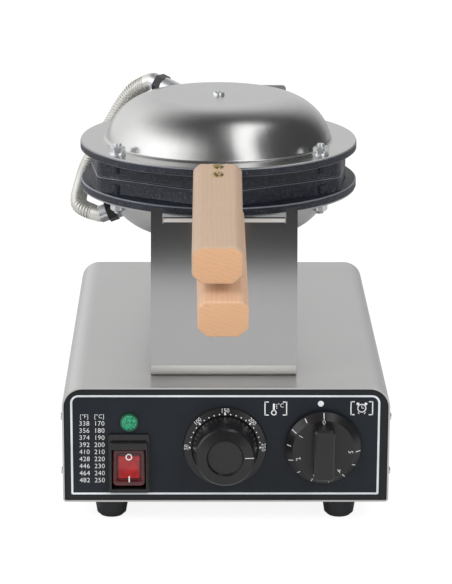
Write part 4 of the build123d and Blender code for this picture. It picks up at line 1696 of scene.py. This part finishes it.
@dataclass
class ControlFace:
    """The printed face sheet: border line, plain numbers and two plain signs."""

    left: float = -113.88 * MM
    right: float = 112.68 * MM
    low: float = 25.63 * MM
    high: float = 102.61 * MM
    line: float = 1.5 * MM
    inner_corner: float = 0.4 * MM
    first_degrees: int = 170
    last_degrees: int = 250
    degrees_step: int = 10
    first_row: float = 80.7 * MM
    row_step: float = 5.50 * MM
    columns: Flat = (-103.8 * MM, -92.8 * MM)
    number_size: float = 5.1 * MM
    number_spacing: float = 1.04
    unit_size: float = 4.3 * MM
    thermometer: Flat = (36.3 * MM, 92.4 * MM)
    clock: Flat = (99.2 * MM, 92.65 * MM)
    index_dot: Flat = (69.2 * MM, 96.1 * MM)
    index_radius: float = 2.2 * MM
    corners: Flat = (6.0 * MM, 1.2 * MM)

    def border(self) -> None:
        """The silver line round the sheet."""
        marks = Print("border_line", SHEET_FACE, SILVER_INK)
        top, bottom = self.corners
        outer = rounded_box(self.left, self.right, self.low, self.high, top, bottom)
        inner = rounded_box(
            self.left + self.line,
            self.right - self.line,
            self.low + self.line,
            self.high - self.line,
            top - self.line,
            self.inner_corner,
        )
        marks.shape([outer, inner])
        marks.build("base", "black_panel")

    def numbers(self) -> None:
        """A plain table of degrees, Fahrenheit beside Celsius."""
        marks = Print("degree_table", SHEET_FACE, WHITE_INK)
        rows = range(self.first_degrees, self.last_degrees + 1, self.degrees_step)
        for row, celsius in enumerate(rows):
            z = self.first_row - self.row_step * row
            fahrenheit = round(celsius * 9 / 5 + 32)
            for x, degrees in zip(self.columns, (fahrenheit, celsius)):
                marks.text(str(degrees), x, z, self.number_size, wide=self.number_spacing)
        for x, unit in zip(self.columns, ("°F", "°C")):
            marks.text(f"[{unit}]", x, self.first_row + self.row_step, self.unit_size)
        marks.build("base", "black_panel")

    def brackets(self, marks: Print, x: float, z: float) -> None:
        """A pair of square brackets round a place.

        Args:
            marks: the printing that they join.
            x: the place across.
            z: the place upwards.
        """
        line, height, reach = 0.8 * MM, 10.8 * MM, 7.9 * MM
        arm, arm_x, arm_z = 2.9 * MM, 6.6 * MM, 5.0 * MM
        for side in (-1, 1):
            marks.bar(x + side * reach, z, line, height)
            for end in (-1, 1):
                marks.bar(x + side * arm_x, z + end * arm_z, arm, line)

    def thermometer_sign(self, marks: Print, x: float, z: float) -> None:
        """A thermometer with three ticks, and the unit beside it.

        Args:
            marks: the printing that it joins.
            x: its place across.
            z: its place upwards.
        """
        stem = x - 1.4 * MM
        tube = rounded_box(-0.75 * MM, 0.75 * MM, -1.6 * MM, 3.9 * MM, 0.7 * MM, 0.1 * MM)
        marks.shape([tube], stem, z)
        marks.ring(stem, z - 3.2 * MM, 2.1 * MM, 1.3 * MM, 20)
        for tick in range(3):
            marks.bar(stem + 2.0 * MM, z + (0.3 + 1.3 * tick) * MM, 0.9 * MM, 0.5 * MM)
        marks.text("°C", stem + 5.0 * MM, z + 2.2 * MM, 4.4 * MM)

    def clock_sign(self, marks: Print, x: float, z: float) -> None:
        """An alarm clock: face, two hands, two bells and two feet.

        Args:
            marks: the printing that it joins.
            x: its place across.
            z: its place upwards.
        """
        marks.ring(x, z, 3.3 * MM, 2.6 * MM, 28)
        marks.bar(x, z + 1.0 * MM, 0.5 * MM, 2.2 * MM)
        marks.bar(x + 0.8 * MM, z, 1.8 * MM, 0.5 * MM)
        for side in (-1, 1):
            marks.shape([circle(1.1 * MM, 14)], x + side * 2.9 * MM, z + 3.3 * MM)
            marks.bar(x + side * 2.3 * MM, z - 3.7 * MM, 0.6 * MM, 1.6 * MM, side * 0.6)

    def signs(self) -> None:
        """The thermometer and the clock in their brackets, and the timer's index dot."""
        marks = Print("dial_signs", SHEET_FACE, WHITE_INK)
        for place in (self.thermometer, self.clock):
            self.brackets(marks, *place)
        self.thermometer_sign(marks, *self.thermometer)
        self.clock_sign(marks, *self.clock)
        marks.dot(*self.index_dot, self.index_radius)
        marks.build("base", "black_panel")

    def build(self) -> None:
        """Makes all the printing on the sheet."""
        self.border()
        self.numbers()
        self.signs()


@dataclass
class TemperatureControl:
    """The dial ring's scale and the knob's pointer line."""

    centre: Flat = (-0.8 * MM, BASE_TOP - 45.1 * MM)
    first_degrees: int = 50
    degrees_step: int = 10
    first_turn: int = -90
    turn_step: int = 9
    dots: int = 21
    dots_per_number: int = 5
    dot_circle: float = 25.9 * MM
    dot_sizes: Flat = (0.75 * MM, 0.45 * MM)
    number_circle: float = 28.2 * MM
    number_size: float = 4.3 * MM
    low_ring: Flat = (0.9 * MM, 0.6 * MM)
    knob_foot: float = 3.9 * MM
    pointer_reach: float = 17.6 * MM
    pointer_size: Flat = (6.4 * MM, 0.45 * MM)
    pointer_lean: float = 0.03

    def build(self) -> None:
        """Prints the dots and numbers from nine o'clock over the top to three o'clock."""
        scale = Print("temperature_scale", SHEET_FACE, WHITE_INK, self.centre, relief=self.cone)
        for step in range(self.dots):
            turn = radians(self.first_turn + self.turn_step * step)
            numbered = step % self.dots_per_number == 0
            r = self.dot_circle
            scale.dot(r * sin(turn), r * cos(turn), self.dot_sizes[0 if numbered else 1])
            if numbered:
                r = self.number_circle
                degrees = str(self.first_degrees + self.degrees_step * step)
                scale.text(degrees, r * sin(turn), r * cos(turn), self.number_size, turn)
        scale.ring(0.0, -self.number_circle, *self.low_ring, 16)
        scale.build("base", "black_plastic")
        face = SHEET_FACE - self.knob_foot
        pointer = Print("temperature_pointer", face, WHITE_INK, self.centre, relief=self.front)
        pointer.bar(self.pointer_reach, 0.0, *self.pointer_size, self.pointer_lean)
        pointer.build("temperature_knob", "black_plastic")

    @staticmethod
    def cone(radius: float) -> float:
        """The dial ring's height above the sheet at a radius."""
        top, start, drop, run, proud = 3.6, 24.9, 1.6, 5.1, 0.02
        return (top - (radius / MM - start) * drop / run + proud) * MM

    @staticmethod
    def front(radius: float) -> float:
        """The knob's height above its foot at a radius."""
        top, start, drop, run, proud = 23.6, 13.6, 1.3, 7.0, 0.03
        return (top - max(0.0, radius / MM - start) * drop / run + proud) * MM


@dataclass
class Timer:
    """The timer dial's ticks and numbers."""

    centre: Flat = (71.3 * MM, BASE_TOP - 44.9 * MM)
    foot: float = 3.0 * MM
    ticks: tuple[float, ...] = (0, 94, 119, 144, 171, 199, 225, 250, 276, 302, 329)
    numbers: tuple[tuple[int, float], ...] = (
        (0, 0),
        (5, 94),
        (4, 144),
        (3, 199),
        (2, 250),
        (1, 302),
    )
    tick_circle: float = 25.4 * MM
    tick_width: float = 0.55 * MM
    tick_lengths: Flat = (3.6 * MM, 2.9 * MM)
    number_circle: float = 19.6 * MM
    zero_circle: float = 21.3 * MM
    number_size: float = 5.0 * MM

    def build(self) -> None:
        """Prints the marks on the dial's bevel and the numbers on its face."""
        foot = SHEET_FACE - self.foot
        marks = Print("timer_scale", foot, WHITE_INK, self.centre, relief=self.bevel)
        numbered = {angle for _, angle in self.numbers}
        for angle in self.ticks:
            turn = radians(angle)
            r = self.tick_circle
            length = self.tick_lengths[0 if angle in numbered else 1]
            marks.bar(r * sin(turn), r * cos(turn), self.tick_width, length, turn)
        for number, angle in self.numbers:
            turn = radians(angle)
            r = self.number_circle if number else self.zero_circle
            marks.text(str(number), r * sin(turn), r * cos(turn), self.number_size, turn)
        marks.build("timer_knob", "black_plastic")

    @staticmethod
    def bevel(radius: float) -> float:
        """The dial's height above its foot at a radius."""
        top, start, drop, run, proud = 6.5, 22.7, 5.0, 4.8, 0.03
        return (top - max(0.0, radius / MM - start) * drop / run + proud) * MM


# Switch and lamp


@dataclass
class Switch:
    """The lit red rocker with its two plain signs."""

    x: float = -71.3 * MM
    pivot_y: float = BASE_FRONT + 6.0 * MM
    low: float = BASE_TOP - 76.4 * MM
    high: float = BASE_TOP - 46.9 * MM
    half: float = 12.2 * MM
    tilt: float = radians(-6.0)
    corner: float = 3.2 * MM
    face_half: Flat = (7.6 * MM, 8.2 * MM)
    face_steps: int = 12
    rim_gap: float = 0.5 * MM
    sign_reach: float = 7.35 * MM
    ring_place: Flat = (0.0, 7.6 * MM)
    ring_size: Flat = (2.5 * MM, 1.65 * MM)
    bar_place: Flat = (0.2 * MM, -9.0 * MM)
    bar_size: Flat = (0.9 * MM, 4.4 * MM)

    def front(self, z: float) -> float:
        """Works out the rocker's dished front.

        Args:
            z: a height, from the pivot.

        Returns:
            How far the front stands out from the pivot there.
        """
        middle, rise, power = 6.6, 1.2, 1.6
        tip = (self.high - self.low) / 2
        return (middle + rise * (abs(z) / tip) ** power) * MM

    def skirt(self, tip: float) -> bpy.types.Mesh:
        """The rocker's rim and sides: steps of share of the outline and depth behind the front.

        Args:
            tip: half the rocker's height.

        Returns:
            Its mesh, about the pivot.
        """
        made = bmesh.new()
        outline = rounded_box(-self.half, self.half, -tip, tip, self.corner, self.corner)
        steps = ((1.0, 0.9 * MM), (0.975, 0.25 * MM), (0.94, 0.0), (0.74, 0.0), (0.70, 0.7 * MM))
        rows = [[made.verts.new((u, MM, v)) for u, v in outline]]
        for share, depth in steps:
            places = [(u * share, depth - self.front(v * share), v * share) for u, v in outline]
            rows.append([made.verts.new(place) for place in places])
        bridge(made, rows)
        made.faces.new(rows[0])
        floor = made.faces.new(rows[-1][::-1])
        bmesh.ops.triangulate(made, faces=[floor])
        return from_bmesh(made, 40)

    def face(self) -> bpy.types.Mesh:
        """Makes the brighter dished face, a strip with a thickness.

        Returns:
            Its mesh, about the pivot.
        """
        made = bmesh.new()
        w, h = self.face_half
        rows = []
        for step in range(self.face_steps + 1):
            z = -h + 2 * h * step / self.face_steps
            y = 0.15 * MM - self.front(z)
            rows.append([made.verts.new((x, y, z)) for x in (-w, w)])
        for low, high in zip(rows, rows[1:]):
            made.faces.new((low[0], low[1], high[1], high[0]))
        holder = new_object("face", from_bmesh(made, 40))
        wall = holder.modifiers.new("wall", "SOLIDIFY")
        wall.thickness = 0.6 * MM
        wall.offset = 0.0
        return smooth(baked(holder))

    def build(self) -> None:
        """Makes the rocker's skirt, its brighter face and the marks on it."""
        body, slot = "power_rocker", "red_plastic"
        middle = (self.low + self.high) / 2
        at = Matrix.Translation((self.x, self.pivot_y, middle))
        place = at @ Matrix.Rotation(self.tilt, 4, "X")
        skirt = self.skirt((self.high - self.low) / 2 - self.rim_gap)
        add_piece("rocker_skirt", carry(skirt, place), RED_EDGE, body, ["power_rocker"])
        add_piece("rocker_face", carry(self.face(), place), RED_FACE, body)
        signs = Print("rocker_signs", 0.0, WHITE_INK)
        signs.ring(*self.ring_place, *self.ring_size, 24)
        signs.bar(*self.bar_place, *self.bar_size)
        piece = signs.build(body, slot)
        piece.data.transform(place @ Matrix.Translation((0, -self.sign_reach, 0)))


def _build_dimples(w: Wiring, start: Node, end: Node) -> None:
    """Raises a grid of small pyramids on the front of a lens.

    Args:
        w: wiring of the group.
        start: the group's input node.
        end: its output node.
    """
    at = w.add("ShaderNodeSeparateXYZ", {0: w.add("GeometryNodeInputPosition").outputs[0]})
    x, y = at.outputs[0], at.outputs[1]
    shares = [w.math("DIVIDE", part, start.outputs["Pitch"]) for part in (x, y)]
    waves = [w.math("PINGPONG", share, 0.5) for share in shares]
    lift = w.product(w.math("MINIMUM", *waves), start.outputs["Height"])
    squares = w.math("ADD", w.math("POWER", x, 2.0), w.math("POWER", y, 2.0))
    inside = w.math("LESS_THAN", w.math("SQRT", squares), start.outputs["Edge"])
    shape = start.outputs["Geometry"]
    inputs = {"Geometry": shape, "Selection": inside, "Offset": w.combined({2: lift})}
    w.end_geometry(start, end, w.add("GeometryNodeSetPosition", inputs).outputs[0])


DIMPLES = Tree("lens_pyramids", number_inputs("Pitch", "Height", "Edge"), _build_dimples)


@dataclass
class PilotLamp:
    """The green lens with its pattern of small pyramids, in a smooth rim."""

    centre: Flat = (-70.9 * MM, BASE_TOP - 26.4 * MM)
    radius: float = 7.0 * MM
    lens_radius: float = 5.75 * MM
    foot: float = 1.7 * MM
    crown: float = 0.9 * MM
    grid: int = 60
    pyramid: float = 1.1 * MM
    pyramid_height: float = 0.7 * MM

    def rim(self) -> bpy.types.Mesh:
        """Turns the smooth rim, with a flat floor under the lens.

        Returns:
            Its mesh, about Z.
        """
        r = self.radius
        front, floor = 2.2 * MM, 1.5 * MM
        profile = [(0.0, 0.0), (r, 0.0), (r, 1.4 * MM), (r - 0.5 * MM, front)]
        profile += [(r - 1.1 * MM, front), (r - 1.3 * MM, floor), (0.0, floor)]
        return from_bmesh(lathe(profile, 64))

    def lens(self) -> bpy.types.Mesh:
        """Makes the domed lens with its pyramids.

        Returns:
            Its mesh, about Z.
        """
        made = bmesh.new()
        limit = self.lens_radius
        bmesh.ops.create_grid(made, x_segments=self.grid, y_segments=self.grid, size=limit)
        outside = [vertex for vertex in made.verts if vertex.co.xy.length > limit]
        bmesh.ops.delete(made, geom=outside, context="VERTS")
        for vertex in made.verts:
            vertex.co.z = self.foot + self.crown * (1 - (vertex.co.xy.length / limit) ** 2)
        mesh = DIMPLES.run(
            from_bmesh(made),
            Pitch=self.pyramid,
            Height=self.pyramid_height,
            Edge=limit,
            Material=GREEN_LENS.material(),
        )
        return smooth(mesh, 20)

    def build(self) -> None:
        """Makes the rim and the patterned lens."""
        face = Matrix.Translation((self.centre[0], SHEET_FACE, self.centre[1])) @ FACING_USER
        add_piece("lamp_rim", carry(self.rim(), face), GREEN_RIM, "base", ["lamp_lens"])
        add_piece("lamp_pattern", carry(self.lens(), face), None, "base")


# Painted highlights on the front post's rolled edges


@dataclass
class RolledEdge:
    """A bright skin over a post bend, its painted highlight, drawn in Y and Z about its middle."""

    name: str
    middle: Flat
    roll: float
    start: float
    end: float
    half_width: float
    proud: float = 0.15 * MM
    wall: float = 0.4 * MM
    post_x: float = -1.6 * MM

    def build(self) -> None:
        """Makes the skin as a thin shell round the bend."""
        outside = self.roll + self.proud
        loop = circle(outside, 16, self.start, self.end, self.middle)
        inner = circle(outside - self.wall, 16, self.end, self.start, self.middle)
        mesh = slab([loop + inner], 2 * self.half_width)
        mesh = smooth(carry(mesh, Matrix.Translation((self.post_x, 0, 0)) @ SIDEWAYS))
        add_piece(self.name, mesh, HIGHLIGHT_STEEL, "base")


@dataclass
class PostEdges:
    """Painted highlights on the front post's lip below the notch and its bend at the base."""

    front: float = BASE_FRONT + 24.0 * MM
    lip: float = BASE_TOP + 120.9 * MM
    lip_roll: float = 2.3 * MM
    lip_turns: Flat = (pi + 0.1, 0.62 * pi)
    lip_half: float = 44.2 * MM
    foot_roll: float = 9.5 * MM
    foot_turns: Flat = (pi, 1.42 * pi)
    foot_half: float = 53.8 * MM
    foot_proud: float = 0.08 * MM

    def build(self) -> None:
        """Makes both skins."""
        roll = self.lip_roll
        middle = (self.front + roll, self.lip - roll)
        RolledEdge("notch_hem", middle, roll, *self.lip_turns, self.lip_half).build()
        roll = self.foot_roll
        middle = (self.front + roll, BASE_TOP + roll)
        RolledEdge(
            "foot_bend", middle, roll, *self.foot_turns, self.foot_half, proud=self.foot_proud
        ).build()


# Carried-over CAD nodes


COAT: dict[Finish, tuple[str, ...]] = {
    STEEL_X: ("base_cover", "rear_post"),
    STEEL_Z: ("front_post", "shaft_cover"),
    SPUN: ("upper_dome",),
    SPUN_SHADED: ("lower_dome",),
    PLAIN_STEEL: (
        "bottom_plate",
        "upper_tongue",
        "lower_tongue",
        "yoke",
        "yoke_bolts",
        "hinge_pin",
        "swivel_shaft",
        "shaft_collar",
        "upper_heater",
        "lower_heater",
    ),
    ZINC: (
        "small_screws",
        "foot_screws",
        "post_screws",
        "upper_hose_fitting",
        "lower_hose_fitting",
    ),
    BLACK_PANEL: ("front_panel", "rear_panel"),
    BLACK_SHEET: ("control_face_sheet",),
    BLACK_PLASTIC: (
        "thermostat_body",
        "timer_body",
        "lamp_body",
        "switch_bezel",
        "switch_body",
        "cable_gland",
        "temperature_knob",
        "upper_hose_nut",
        "lower_hose_nut",
    ),
    DIAL_PLASTIC: ("temperature_dial", "timer_knob"),
    RUBBER: ("rubber_feet", "wire_grommet"),
    BRASS: ("temperature_spindle", "timer_spindle", "swivel_bush"),
    WHITE_PLASTIC: ("terminal_block",),
    FIBRE: ("upper_heat_blanket", "lower_heat_blanket"),
}


def coat_frame() -> None:
    """Gives every CAD node that stays in sight its finish."""
    for finish, names in COAT.items():
        for name in names:
            dress(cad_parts[name].data, finish)
    log.info("coated %d carried-over nodes", sum(len(names) for names in COAT.values()))


# Studio


@dataclass(frozen=True)
class PanelLamp:
    """A soft panel lamp that looks at the object and isn't mirrored in it."""

    name: str
    place: Point
    width: float
    height: float
    power: float
    aim: Point = (0.0, 0.0, 0.2)

    def build(self) -> None:
        """Adds the lamp."""
        data = bpy.data.lights.new(self.name, "AREA")
        data.shape = "RECTANGLE"
        data.size = self.width
        data.size_y = self.height
        data.energy = self.power
        lamp = new_object(self.name, data)
        lamp.visible_glossy = False
        away = Vector(self.place) - Vector(self.aim)
        turned = away.to_track_quat("Z", "Y").to_matrix().to_4x4()
        lamp.matrix_world = Matrix.Translation(self.place) @ turned


@dataclass
class Studio:
    """Floor, surroundings, lamps and the camera.

    Directions round the room are in degrees from the front, to the right. Heights in it, and
    places across it, are parts of a unit direction.
    """

    camera_place: Point = (-21.6 * MM, -1894.07 * MM, 684.16 * MM)
    focal_length: float = 157.23
    pitch: float = radians(15.8766)
    roll: float = radians(0.2225)
    yaw: float = radians(0.6854)
    left_wall: tuple[float, ...] = (-178.0, -135.0, -62.0, 1.0)
    left_fade: tuple[float, ...] = (-0.8, 0.2, 0.5, 1.0)
    left_light: float = 1.65
    strip_way: float = 0.55
    strip_lean: float = 0.25
    strip_half: Flat = (0.04, 0.23)
    strip_front: Flat = (-0.30, 0.0)
    strip_light: float = 1.8
    back_wall: Flat = (128.0, 172.0)
    back_light: float = 0.66
    ceiling: Flat = (0.50, 1.0)
    horizon: Flat = (-0.12, 0.05)
    room_light: float = 0.075
    matt_light: float = 0.55
    floor_front: float = -0.79
    floor_sides: float = 3.0
    floor_back: float = 6.0
    floor_grey: float = 0.80
    floor_glow: float = 1.3
    floor_glow_share: float = 0.68
    lamps: tuple[PanelLamp, ...] = (
        PanelLamp("left_panel", (-1.5, -1.3, 1.5), 1.3, 1.3, 26),
        PanelLamp("right_panel", (1.15, -1.6, 1.45), 1.0, 1.3, 20),
    )

    def camera(self) -> None:
        """Sets the camera at the photograph's place and angle."""
        data = bpy.data.cameras.new("photo_camera")
        data.lens = self.focal_length
        data.sensor_width = 36.0
        data.clip_end = 20.0
        level_part, drop = cos(self.pitch), sin(self.pitch)
        forward = Vector((sin(self.yaw) * level_part, cos(self.yaw) * level_part, -drop))
        level = Vector((cos(self.yaw), -sin(self.yaw), 0))
        up = level.cross(forward)
        right = cos(self.roll) * level + sin(self.roll) * up
        up = cos(self.roll) * up - sin(self.roll) * level
        turned = Matrix((right, up, -forward)).transposed().to_4x4()
        camera = new_object("photo_camera", data)
        camera.matrix_world = Matrix.Translation(self.camera_place) @ turned
        bpy.context.scene.camera = camera

    def room(self, w: Wiring) -> Socket:
        """The light that metal and gloss reflect, by direction.

        A broad wall on the left fades upwards and to the back. A strip in front on the right
        leans to the middle as it rises. A pale wall stands behind, and floor and ceiling are
        dark.

        Args:
            w: wiring of the world's tree.

        Returns:
            The light's strength.
        """
        way = w.add("ShaderNodeSeparateXYZ", {0: w.add("ShaderNodeTexCoord").outputs["Generated"]})
        across, up = way.outputs[0], way.outputs[2]
        towards = w.product(way.outputs[1], -1.0)
        around = w.product(w.math("ARCTAN2", across, towards), 180 / pi)
        below_ceiling = w.rest(w.ramp(up, *self.ceiling))
        left = w.rest(w.ramp(around, *self.left_wall[2:]))
        left = w.product(left, w.ramp(around, *self.left_wall[:2]))
        left = w.product(left, w.spread(towards, *self.left_fade), below_ceiling, self.left_light)
        leaned = w.math("ADD", across, w.product(up, self.strip_lean))
        off_strip = w.math("ABSOLUTE", w.math("SUBTRACT", leaned, self.strip_way))
        strip = w.rest(w.ramp(off_strip, *self.strip_half))
        strip = w.product(strip, w.ramp(towards, *self.strip_front), self.strip_light)
        front = w.product(w.math("ADD", left, strip), w.ramp(up, *self.horizon))
        back = w.ramp(w.math("ABSOLUTE", around), *self.back_wall)
        back = w.product(back, below_ceiling, self.back_light)
        return w.math("ADD", w.math("ADD", front, back), self.room_light)

    def world(self) -> None:
        """A white backdrop for the camera, the room for reflections, and a plain matt light."""
        world = bpy.data.worlds.new("studio")
        bpy.context.scene.world = world
        world.use_nodes = True
        w = Wiring(world.node_tree)
        background = world.node_tree.nodes["Background"]
        path = w.add("ShaderNodeLightPath")
        seen = w.math("MAXIMUM", path.outputs["Is Camera Ray"], path.outputs["Is Transmission Ray"])
        mirrored = w.product(self.room(w), path.outputs["Is Glossy Ray"])
        matt = w.product(path.outputs["Is Diffuse Ray"], self.matt_light)
        w.feed(background.inputs["Color"], shade((1.0, 1.0, 1.0)))
        w.feed(background.inputs["Strength"], w.math("ADD", w.math("ADD", mirrored, seen), matt))

    def floor(self) -> None:
        """A pale floor that ends out of sight in front, and keeps the object's soft shadow."""
        made = bmesh.new()
        side, near, far = self.floor_sides, self.floor_front, self.floor_back
        corners = [(-side, near, 0), (side, near, 0), (side, far, 0), (-side, far, 0)]
        made.faces.new([made.verts.new(corner) for corner in corners])
        material = bpy.data.materials.new("pale_floor")
        material.use_nodes = True
        w = Wiring(material.node_tree)
        shader = material.node_tree.nodes["Principled BSDF"]
        grey = self.floor_grey
        shader.inputs["Base Color"].default_value = shade((grey, grey, grey))
        shader.inputs["Roughness"].default_value = 0.9
        shader.inputs["Specular IOR Level"].default_value = 0.0
        light = {"Color": shade((1.0, 1.0, 1.0)), "Strength": self.floor_glow}
        glow = w.add("ShaderNodeEmission", light)
        camera_ray = w.add("ShaderNodeLightPath").outputs["Is Camera Ray"]
        share = w.product(camera_ray, self.floor_glow_share)
        mixed = w.add("ShaderNodeMixShader", {0: share, 1: shader.outputs[0], 2: glow.outputs[0]})
        w.feed(material.node_tree.nodes["Material Output"].inputs["Surface"], mixed.outputs[0])
        mesh = to_mesh(made, "floor")
        mesh.materials.append(material)
        new_object("floor", mesh)

    def build(self) -> None:
        """Sets everything that isn't part of the object."""
        self.camera()
        self.world()
        self.floor()
        for lamp in self.lamps:
            lamp.build()
        bpy.context.scene.view_settings.view_transform = "Standard"


def main() -> None:
    """Builds the scene in order."""
    logging.basicConfig(level=logging.INFO, format="%(name)s: %(message)s")
    Studio().build()
    coat_frame()
    Hose().build()
    EggPan().build()
    CastRing().build()
    Fasteners().build()
    for handle in HANDLES:
        handle.build()
    ControlFace().build()
    TemperatureControl().build()
    Timer().build()
    Switch().build()
    PilotLamp().build()
    PostEdges().build()
    bpy.context.view_layer.update()


if __name__ == "__main__":
    main()
